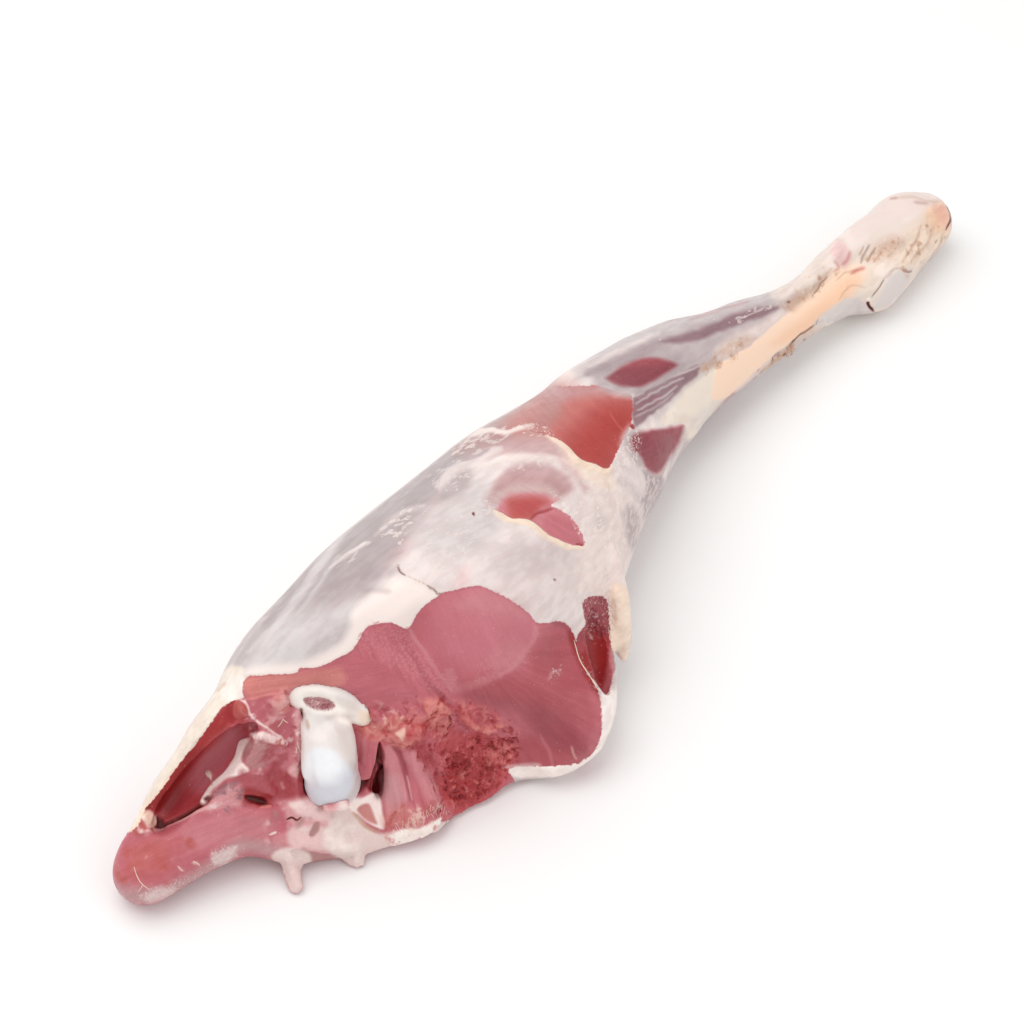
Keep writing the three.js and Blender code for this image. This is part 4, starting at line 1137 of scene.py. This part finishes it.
def favour_front(piece, keep):
    """Keeps fewer points where the photograph shows nothing of the leg, makes them denser where it shows
    the leg, and denser again in its finest places."""
    place = read(piece.data.vertices, "co", 3)
    facing = (read(piece.data.vertices, "normal", 3) * (CAMERA_PLACE - place)).sum(1)
    group = piece.vertex_groups.new(name="turned_away")
    group.add(np.flatnonzero(facing < -0.12).tolist(), 1.0, "REPLACE")
    apply_modifier(piece, "DECIMATE", decimate_type="COLLAPSE", ratio=keep, vertex_group=group.name)
    for boxes in ([(0, 0, PHOTO_SIDE, PHOTO_SIDE)], FINE):
        centre = read(piece.data.polygons, "center", 3)
        facing = (read(piece.data.polygons, "normal", 3) * (CAMERA_PLACE - centre)).sum(1) > -0.06
        select_faces(piece, facing & in_boxes(to_photo(centre), boxes))
        bpy.ops.mesh.subdivide(number_cuts=1)
        bpy.ops.mesh.select_all(action="SELECT")
        bpy.ops.mesh.quads_convert_to_tris()
        bpy.ops.object.mode_set(mode="OBJECT")


def in_boxes(spots, boxes):
    """Which spots of the photograph lie in any of some boxes: left, top, right, bottom."""
    inside = np.zeros(len(spots), bool)
    for left, top, right, bottom in boxes:
        inside |= ((spots > (left, top)) & (spots < (right, bottom))).all(1)
    return inside


def part_off(piece, chosen, name):
    """Parts the chosen faces off as a piece of their own."""
    select_faces(piece, chosen)
    bpy.ops.mesh.separate(type="SELECTED")
    bpy.ops.object.mode_set(mode="OBJECT")
    other = next(item for item in bpy.context.selected_objects if item != piece)
    other.name = other.data.name = name
    return other


def pull_to(surface, target, reach):
    """How the points near a target move to close the gap between them."""
    tree = ground_of(target)
    pull = np.zeros_like(surface.place)
    low, high = np.array(target.bound_box).min(0) - reach, np.array(target.bound_box).max(0) + reach
    for i in np.flatnonzero(((surface.place > low) & (surface.place < high)).all(1)):
        spot, _, _, distance = tree.find_nearest(Vector(surface.place[i]), reach)
        if spot is not None:
            pull[i] = (np.array(spot) - surface.place[i]) * ease(reach, 0.55 * reach, distance)
    return pull


def select_faces(piece, chosen):
    """Opens a piece in edit mode with only the chosen faces selected."""
    pick(piece)
    bpy.ops.object.mode_set(mode="EDIT")
    bpy.ops.mesh.select_mode(type="FACE")
    bpy.ops.mesh.select_all(action="DESELECT")
    bpy.ops.object.mode_set(mode="OBJECT")
    piece.data.polygons.foreach_set("select", chosen)
    bpy.ops.object.mode_set(mode="EDIT")


def keep_shading(piece):
    """Shades a piece by the normals that it had before it was parted, so that no seam shows."""
    layer = piece.data.attributes["shading"]
    normals = read(layer.data, "vector", 3, np.float32)
    piece.data.normals_split_custom_set_from_vertices(normals.tolist())
    piece.data.attributes.remove(piece.data.attributes["shading"])


def finish_piece(piece, node, material):
    pick(piece)
    bpy.ops.object.shade_smooth()
    piece.data.materials.clear()
    piece.data.materials.append(material)
    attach(piece, "root")
    if node:
        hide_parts(node)


# ------------------------------------------------------------------ materials
def add(tree, kind, inputs=None, **settings):
    """Adds a node with its settings. An input is a value, a socket, or a node whose live output it takes."""
    node = tree.nodes.new("ShaderNode" + kind)
    for name, value in settings.items():
        setattr(node, name, value)
    for name, value in (inputs or {}).items():
        if isinstance(value, bpy.types.Node):
            value = next(output for output in value.outputs if output.enabled)
        if isinstance(value, bpy.types.NodeSocket):
            tree.links.new(value, node.inputs[name])
        else:
            node.inputs[name].default_value = value
    return node


def new_material(name):
    material = bpy.data.materials.new(name)
    material.use_nodes = True
    tree = material.node_tree
    tree.nodes.clear()
    return material, tree


def per_mm(size):
    """The scale of a texture whose grain is size millimetres."""
    return 1 / (size * MM)


# Sockets by number: a mix of colours takes a share at 0 and its colours at 6 and 7; a map of a range takes
# a value at 0, its ends at 1 and 2, and what they become at 3 and 4.
COLOURS = {"data_type": "RGBA"}
TIMES = {"data_type": "RGBA", "blend_type": "MULTIPLY"}
EASED = {"interpolation_type": "SMOOTHSTEP"}


def raw_meat():
    """Raw muscle under fascia: cut wet muscle shows its fibres and faint marbling, and fascia is a thin
    moist film, cloudy and faintly streaked along the leg, with torn flakes of white where fat backs it."""
    material, tree = new_material("raw_muscle_and_fascia")
    at = add(tree, "TexCoord").outputs["Object"]
    flesh = add(tree, "Attribute", attribute_name="flesh")
    cover = add(tree, "Attribute", attribute_name="cover")
    flake = add(tree, "Attribute", attribute_name="flake")
    bare = add(tree, "Attribute", attribute_name="bare").outputs["Fac"]
    fibres = add(tree, "Attribute", attribute_name="fibres").outputs["Vector"]
    # the fascia's torn edge wanders by about half a millimetre
    ragged = add(tree, "TexNoise", {"Vector": at, "Scale": per_mm(1.4), "Detail": 4.0})
    ragged = add(tree, "Math", {0: ragged, 1: 1.3, 2: bare}, operation="MULTIPLY_ADD")
    edge = add(tree, "MapRange", {0: ragged, 1: 0.49, 2: 0.81}, **EASED)
    # muscle: threads along the fibres, a soft mottle, and specks of fat and film
    along = add(tree, "Mapping", {"Vector": fibres, "Scale": (1, 0.09, 1)})
    fibre = add(tree, "TexNoise", {"Vector": along, "Scale": per_mm(1.3), "Detail": 4.0})
    pale = add(tree, "Mix", {0: 1.0, 6: flesh, 7: (1.22, 1.3, 1.3, 1)}, **TIMES)
    dim = add(tree, "Mix", {0: 1.0, 6: flesh, 7: (0.8, 0.66, 0.67, 1)}, **TIMES)
    thready = add(tree, "MapRange", {0: fibre, 1: 0.3, 2: 0.7}, **EASED)
    thready = add(tree, "Mix", {0: thready, 6: dim, 7: pale}, **COLOURS)
    muscle = add(tree, "Mix", {0: flesh.outputs["Alpha"], 6: flesh, 7: thready}, **COLOURS)
    mottle = add(tree, "TexNoise", {"Vector": at, "Scale": per_mm(8.0), "Detail": 5.0, "Roughness": 0.6})
    mottle = add(tree, "MapRange", {0: mottle, 1: 0.35, 2: 0.7, 4: 0.3}, **EASED)
    muscle = add(tree, "Mix", {0: mottle, 6: muscle, 7: dim}, **COLOURS)
    grain = add(tree, "TexNoise", {"Vector": at, "Scale": per_mm(0.6), "Detail": 3.0})
    grain = add(tree, "MapRange", {0: grain, 1: 0.4, 2: 0.75, 4: 0.22}, **EASED)
    muscle = add(tree, "Mix", {0: grain, 6: muscle, 7: pale}, **COLOURS)
    speck = add(tree, "TexNoise", {"Vector": at, "Scale": per_mm(0.9), "Detail": 5.0})
    speck = add(tree, "Math", {0: flake.outputs["Alpha"], 1: 0.5, 2: speck}, operation="MULTIPLY_ADD")
    speck = add(tree, "MapRange", {0: speck, 1: 0.68, 2: 0.88, 4: 0.55}, **EASED)
    muscle = add(tree, "Mix", {0: speck, 6: muscle, 7: flake}, **COLOURS)
    # fascia: clouds and soft streaks along the leg, and torn flakes on it
    drawn = add(tree, "Mapping", {"Vector": at, "Rotation": (0, 0, 0.1), "Scale": (0.25, 1, 1)})
    streak = add(tree, "TexNoise", {"Vector": drawn, "Scale": per_mm(2.6), "Detail": 5.0})
    cloud = add(tree, "TexNoise", {"Vector": at, "Scale": per_mm(9.0), "Detail": 4.0, "Roughness": 0.55})
    veil = add(tree, "Math", {0: streak, 1: cloud}, operation="ADD")
    veil = add(tree, "MapRange", {0: veil, 1: 0.78, 2: 1.22}, **EASED)
    bright = add(tree, "Mix", {0: 1.0, 6: cover, 7: (1.07, 1.08, 1.09, 1)}, **TIMES)
    dull = add(tree, "Mix", {0: 1.0, 6: cover, 7: (0.91, 0.885, 0.89, 1)}, **TIMES)
    film = add(tree, "Mix", {0: veil, 6: dull, 7: bright}, **COLOURS)
    film = add(tree, "Mix", {0: cover.outputs["Alpha"], 6: cover, 7: film}, **COLOURS)
    wrinkled = add(tree, "Mapping", {"Vector": at, "Rotation": (0, 0, 0.1), "Scale": (0.6, 1, 1)})
    torn = {"Vector": wrinkled, "Scale": per_mm(2.6), "Detail": 7.0, "Roughness": 0.62}
    torn = add(tree, "TexNoise", torn)
    torn = add(tree, "Math", {0: flake.outputs["Alpha"], 1: 0.5, 2: torn}, operation="MULTIPLY_ADD")
    flakes = add(tree, "MapRange", {0: torn, 1: 0.71, 2: 0.76, 4: 0.55}, **EASED)
    under = add(tree, "MapRange", {0: torn, 1: 0.66, 2: 0.71, 4: 0.22}, **EASED)
    film = add(tree, "Mix", {0: under, 6: film, 7: dull}, **COLOURS)
    film = add(tree, "Mix", {0: flakes, 6: film, 7: flake}, **COLOURS)
    colour = add(tree, "Mix", {0: edge, 6: film, 7: muscle}, **COLOURS)
    # how it shines, and its fine relief
    damp = add(tree, "TexNoise", {"Vector": at, "Scale": per_mm(4.0), "Detail": 3.0})
    rough = add(tree, "MapRange", {0: damp, 1: 0.3, 2: 0.7, 3: 0.34, 4: 0.5}, **EASED)
    film_height = add(tree, "Math", {0: veil, 1: cover.outputs["Alpha"]}, operation="MULTIPLY")
    film_height = add(tree, "Math", {0: flakes, 1: 0.9, 2: film_height}, operation="MULTIPLY_ADD")
    fibre_height = add(tree, "Math", {0: fibre, 1: flesh.outputs["Alpha"]}, operation="MULTIPLY")
    muscle_height = add(tree, "TexNoise", {"Vector": at, "Scale": per_mm(1.0), "Detail": 4.0})
    muscle_height = add(tree, "Math", {0: muscle_height, 1: 0.4, 2: fibre_height}, operation="MULTIPLY_ADD")
    height = add(tree, "Mix", {0: edge, 2: film_height, 3: muscle_height}, data_type="FLOAT")
    bump = add(tree, "Bump", {"Height": height, "Strength": 0.4, "Distance": 0.35 * MM})
    surface = add(tree, "BsdfPrincipled", {
        "Base Color": colour, "Roughness": rough, "IOR": 1.4, "Normal": bump,
        "Subsurface Weight": 0.15, "Subsurface Radius": (1.0, 0.4, 0.3), "Subsurface Scale": 1.2 * MM,
        "Coat Weight": 0.12, "Coat Roughness": 0.12, "Specular IOR Level": 0.4})
    add(tree, "OutputMaterial", {"Surface": surface})
    return material


def moist_bone():
    """Bare bone and cartilage: scraped bone is faintly pitted and dull, and cartilage is smooth and wet."""
    material, tree = new_material("moist_bone_and_cartilage")
    at = add(tree, "TexCoord").outputs["Object"]
    bone = add(tree, "Attribute", attribute_name="bone")
    spongy = add(tree, "Attribute", attribute_name="spongy").outputs["Fac"]
    # the saw cut shows spongy bone, with cells of about 0.8 mm
    cells = add(tree, "TexVoronoi", {"Vector": at, "Scale": per_mm(0.8)})
    cells = add(tree, "MapRange", {0: cells, 1: 0.15, 2: 0.5}, **EASED)
    dark = add(tree, "Mix", {0: 1.0, 6: bone, 7: (0.55, 0.42, 0.42, 1)}, **TIMES)
    pale = add(tree, "Mix", {0: 1.0, 6: bone, 7: (1.35, 1.45, 1.4, 1)}, **TIMES)
    sponge = add(tree, "Mix", {0: cells, 6: dark, 7: pale}, **COLOURS)
    sawn = add(tree, "MapRange", {0: spongy, 1: 0.3, 2: 0.7}, **EASED)
    colour = add(tree, "Mix", {0: sawn, 6: bone, 7: sponge}, **COLOURS)
    # faint stains all over, about 3 mm apart
    stain = add(tree, "TexNoise", {"Vector": at, "Scale": per_mm(3.0), "Detail": 3.0})
    stain = add(tree, "MapRange", {0: stain, 1: 0.35, 2: 0.7, 4: 0.25}, **EASED)
    stained = add(tree, "Mix", {0: 1.0, 6: colour, 7: (0.95, 0.9, 0.87, 1)}, **TIMES)
    colour = add(tree, "Mix", {0: stain, 6: colour, 7: stained}, **COLOURS)
    damp = add(tree, "TexNoise", {"Vector": at, "Scale": per_mm(3.0)})
    rough = add(tree, "MapRange", {0: damp, 1: 0.3, 2: 0.7, 3: 0.3, 4: 0.42}, **EASED)
    pitting = add(tree, "TexNoise", {"Vector": at, "Scale": per_mm(0.6), "Detail": 3.0})
    bump = add(tree, "Bump", {"Height": pitting, "Strength": 0.12, "Distance": 0.2 * MM})
    surface = add(tree, "BsdfPrincipled", {
        "Base Color": colour, "Roughness": rough, "IOR": 1.5, "Normal": bump,
        "Subsurface Weight": 0.15, "Subsurface Radius": (1.0, 0.8, 0.7), "Subsurface Scale": 1.5 * MM,
        "Coat Weight": 0.15, "Coat Roughness": 0.1, "Specular IOR Level": 0.45})
    add(tree, "OutputMaterial", {"Surface": surface})
    return material


def wet_sinew(palette):
    """Loose threads of sinew and fat: soft, wet and almost white, a little pink where blood has stained
    them."""
    material, tree = new_material("wet_sinew")
    at = add(tree, "TexCoord").outputs["Object"]
    stain = add(tree, "TexNoise", {"Vector": at, "Scale": per_mm(2.5), "Detail": 3.0})
    stain = add(tree, "MapRange", {0: stain, 1: 0.4, 2: 0.75, 4: 0.7}, **EASED)
    colour = add(tree, "Mix", {0: stain, 6: (*palette.lip, 1), 7: (*palette.tissue, 1)}, **COLOURS)
    surface = add(tree, "BsdfPrincipled", {
        "Base Color": colour, "Roughness": 0.38, "IOR": 1.4, "Subsurface Weight": 0.2,
        "Subsurface Radius": (1.0, 0.6, 0.5), "Subsurface Scale": 0.8 * MM, "Coat Weight": 0.2,
        "Coat Roughness": 0.1})
    add(tree, "OutputMaterial", {"Surface": surface})
    return material


def painted_floor(palette):
    """A matt painted studio floor, with the faintest unevenness."""
    material, tree = new_material("matt_painted_floor")
    at = add(tree, "TexCoord").outputs["Object"]
    uneven = add(tree, "TexNoise", {"Vector": at, "Scale": per_mm(400)})
    uneven = add(tree, "MapRange", {0: uneven, 1: 0.3, 2: 0.7, 4: 0.04}, **EASED)
    worn = (*[c * 0.96 for c in palette.floor], 1)
    colour = add(tree, "Mix", {0: uneven, 6: (*palette.floor, 1), 7: worn}, **COLOURS)
    surface = add(tree, "BsdfPrincipled", {"Base Color": colour, "Roughness": 0.85})
    add(tree, "OutputMaterial", {"Surface": surface})
    return material


# ------------------------------------------------------------------ operators
MEAT_PIECES = (
    "kid_leg_thigh", "kid_leg_cut_face", "kid_leg_joint_bed_and_tongue", "kid_leg_shank_and_hock")


class LEG_OT_meat(bpy.types.Operator):
    """Dress the meat with its fascia, fat, shank and hock"""
    bl_idname = "leg.meat"
    bl_label = "Meat"
    bl_options = {"REGISTER", "UNDO"}

    def execute(self, context):
        sizes, palette = context.scene.leg_sizes, context.scene.leg_colours
        piece = copy_of("leg_meat", MEAT_PIECES[0])
        ground = ground_of(piece, frame["nodes"]["thigh_bone"])
        join(piece, *shaft_filling(), lay_strands("bundles", BUNDLES.values(), ground),
             lay_strands("bridges", BRIDGES.values(), ground, bridging=True))
        apply_modifier(piece, "REMESH", mode="VOXEL", voxel_size=sizes.meat_grain)
        apply_modifier(piece, "SMOOTH", factor=0.5, iterations=10, vertex_group=spare_thin_skin(piece))
        favour_front(piece, BACK_SHARE)
        surface = Surface(piece, palette)
        paint_cover(surface)
        paint_flesh(surface)
        fade = fade_edges(surface)
        depth = bare_depth(surface)
        surface.keep_value("bare", depth)
        surface.keep_fibres()
        lay_flakes(surface)
        surface.keep_colours()
        step = sizes.cover_depth * ease(0.6, -0.6, depth) * (1 - fade)
        pull = pull_to(surface, frame["nodes"]["thigh_bone"], BONE_GAP)
        surface.raise_points(surface.lift * MM + step, pull)
        surface.keep_vector("shading", read(piece.data.vertices, "normal", 3))
        material = raw_meat()
        centre = read(piece.data.polygons, "center", 3)
        corner = read(piece.data.polygons, "loop_start", 1, np.int32)
        corner = read(piece.data.loops, "vertex_index", 1, np.int32)[corner]
        cut = (depth[corner] > BARE_EDGE) & ((centre - CUT_BASE) @ CUT_OUT > -CUT_REACH)
        cut_face = part_off(piece, cut, MEAT_PIECES[1])
        around_joint = in_boxes(to_photo(read(cut_face.data.polygons, "center", 3)), [JOINT])
        joint_bed = part_off(cut_face, around_joint, MEAT_PIECES[2])
        centre = read(piece.data.polygons, "center", 3)
        shank = part_off(piece, centre[:, 0] > KNEE_X, MEAT_PIECES[3])
        for item in (piece, cut_face, joint_bed, shank):
            finish_piece(item, "leg_meat", material)
            keep_shading(item)
        return {"FINISHED"}


class LEG_OT_threads(bpy.types.Operator):
    """Lay loose threads of sinew and fine bristles of fat on the meat"""
    bl_idname = "leg.threads"
    bl_label = "Sinew threads"
    bl_options = {"REGISTER", "UNDO"}

    def execute(self, context):
        ground = ground_of(*(bpy.data.objects[name] for name in MEAT_PIECES))
        threads = lay_strands("sinew_threads", [*THREADS.values(), *foot_bristles()], ground)
        finish_piece(threads, "leg_meat", wet_sinew(context.scene.leg_colours))
        return {"FINISHED"}


def paint_cover(surface):
    """Lays the fascia: first what goes all round the leg, then what the photograph shows."""
    along = surface.place[:, 0]
    surface.fill("cover", "film")
    for tissue, strength, start, end in COVER_BANDS:
        surface.tone("cover", tissue, strength * ease(start, end, along))
    drawn = surface.place * (0.3, 1, 1)
    veil = lattice_noise(drawn, 9 * MM, 11) * 0.6 + lattice_noise(drawn, 4 * MM, 12) * 0.4
    thigh = 1 - ease(*THIGH_FADES, along)
    surface.tone("cover", "sheen", 0.7 * thigh * ease(0.45, 0.7, veil))
    deep = lattice_noise(surface.place * (0.5, 1, 1), 22 * MM, 13)
    surface.tone("cover", "mauve", 0.7 * thigh * ease(0.55, 0.75, deep))
    surface.tone("cover", "film_white", 0.6 * ease(0.6, 0.75, lattice_noise(drawn, 7 * MM, 14)))
    for mark in COVER_MARKS.values():
        surface.lay("cover", mark)
    for number, crust in enumerate(CRUSTS.values()):
        surface.crumble("cover", CRUST_SEED + 5 * number, *crust)
    smooth = np.max([surface.share_of(outline, 6) for outline in SMOOTH.values()], axis=0)
    surface.opacity["cover"] = 0.8 - 0.75 * smooth


def paint_flesh(surface):
    """Lays the bare muscle with its fat and sinews, and crumbles what is torn."""
    surface.fill("flesh", "lean")
    for mark in FLESH_MARKS.values():
        surface.lay("flesh", mark)
    for number, crumb in enumerate(CRUMBS.values()):
        surface.crumble("flesh", CRUMB_SEED + 5 * number, *crumb)


def fade_edges(surface):
    """Lets the fascia thin out over the muscle where it has no edge, and says where."""
    fade = np.max([surface.share_of(*fade) for fade in FADES.values()], axis=0)
    for name, width in SOFT_WINDOWS.items():
        depth = depth_inside(surface.drawn, smooth_curve(BARE[name], True))
        fade = np.maximum(fade, ease(width, 0, depth) * ease(-12, -2, depth))
    flesh, cover = surface.colour["flesh"], surface.colour["cover"]
    flesh += (cover - flesh) * fade[:, None]
    return fade


def lay_flakes(surface):
    """Lays flakes of film, whose opacity is how thickly they lie."""
    surface.fill("flake", "film_white")
    surface.opacity["flake"] = np.full(len(surface.place), 0.05)
    for outline, name, thickness, soft in FLAKES.values():
        share = surface.share_of(outline, soft)
        surface.tone("flake", name, ease(0, 0.3, share))
        surface.opacity["flake"] = np.maximum(surface.opacity["flake"], thickness * share)


class LEG_OT_bone(bpy.types.Operator):
    """Dress the thigh bone with its ball, neck and sawn knob"""
    bl_idname = "leg.bone"
    bl_label = "Thigh bone"
    bl_options = {"REGISTER", "UNDO"}

    def execute(self, context):
        sizes, palette = context.scene.leg_sizes, context.scene.leg_colours
        piece = copy_of("thigh_bone", "thigh_bone_and_ball")
        ground = ground_of(piece, frame["nodes"]["leg_meat"])
        join(piece, lay_strands("bulges", BONE_BULGES.values(), ground, 2, bridging=True))
        apply_modifier(piece, "REMESH", mode="VOXEL", voxel_size=sizes.bone_grain)
        apply_modifier(piece, "SMOOTH", factor=0.5, iterations=24)
        surface = Surface(piece, palette, wander=0.8)
        surface.fill("bone", "ivory")
        for mark in BONE_MARKS.values():
            surface.lay("bone", mark)
        marrow = depth_inside(surface.photo, smooth_curve(BONE_MARKS["marrow"].spots, True))
        surface.keep_value("spongy", ease(-1, 1, marrow) * surface.seen)
        surface.keep_colours()
        surface.raise_points(surface.lift * MM)
        finish_piece(piece, "thigh_bone", moist_bone())
        return {"FINISHED"}


class LEG_OT_stage(bpy.types.Operator):
    """Set the pale floor, the soft light and the camera at the photograph's angle"""
    bl_idname = "leg.stage"
    bl_label = "Stage"
    bl_options = {"REGISTER", "UNDO"}

    def execute(self, context):
        scene = context.scene
        deselect()
        bpy.ops.mesh.primitive_plane_add(size=FLOOR_SIZE, location=(0, 0, 0))
        floor = context.object
        floor.name = "floor"
        floor.data.materials.append(painted_floor(scene.leg_colours))
        world = bpy.data.worlds.new("soft_room")
        world.use_nodes = True
        room = world.node_tree.nodes["Background"].inputs
        room["Color"].default_value = (1, 1, 1, 1)
        room["Strength"].default_value = ROOM_LIGHT
        scene.world = world
        for name, light in LIGHTS.items():
            add_light(name, *light)
        bpy.ops.object.camera_add(location=CAMERA_PLACE)
        camera = context.object
        camera.name = "photo_camera"
        camera.rotation_euler = Matrix((VIEW_RIGHT, VIEW_UP, -VIEW_AHEAD)).transposed().to_euler()
        camera.data.lens = CAMERA_LENS
        camera.data.sensor_width = CAMERA_SENSOR
        scene.camera = camera
        scene.view_settings.view_transform = "Standard"
        return {"FINISHED"}


def add_light(name, size, power, right, up, ahead):
    """A square softbox that looks at the leg from so many metres to the right, up and ahead in the view."""
    place = Vector(CAMERA_AIM + (VIEW_RIGHT * right + VIEW_UP * up + VIEW_AHEAD * ahead))
    bpy.ops.object.light_add(type="AREA", location=place)
    light = bpy.context.object
    light.name = name
    light.data.size = size
    light.data.energy = power
    light.rotation_euler = (place - Vector(CAMERA_AIM)).to_track_quat("Z", "Y").to_euler()


class LEG_PT_panel(bpy.types.Panel):
    """The steps that dress the leg"""
    bl_idname = "LEG_PT_panel"
    bl_label = "Raw kid goat leg"
    bl_space_type = "VIEW_3D"
    bl_region_type = "UI"
    bl_category = "Goat leg"

    def draw(self, context):
        for step in STEPS:
            self.layout.operator(step.bl_idname)
        for group in (context.scene.leg_sizes, context.scene.leg_colours):
            for name in group.bl_rna.properties.keys():
                if name not in ("rna_type", "name"):
                    self.layout.prop(group, name)


STEPS = (LEG_OT_stage, LEG_OT_meat, LEG_OT_threads, LEG_OT_bone)
CLASSES = (LegSizes, LegColours, *STEPS, LEG_PT_panel)


def register():
    for item in CLASSES:
        bpy.utils.register_class(item)
    bpy.types.Scene.leg_sizes = bpy.props.PointerProperty(type=LegSizes)
    bpy.types.Scene.leg_colours = bpy.props.PointerProperty(type=LegColours)


def unregister():
    del bpy.types.Scene.leg_colours
    del bpy.types.Scene.leg_sizes
    for item in reversed(CLASSES):
        bpy.utils.unregister_class(item)


def main():
    register()
    bpy.ops.leg.stage()
    bpy.ops.leg.meat()
    bpy.ops.leg.threads()
    bpy.ops.leg.bone()


if __name__ == "__main__":
    main()
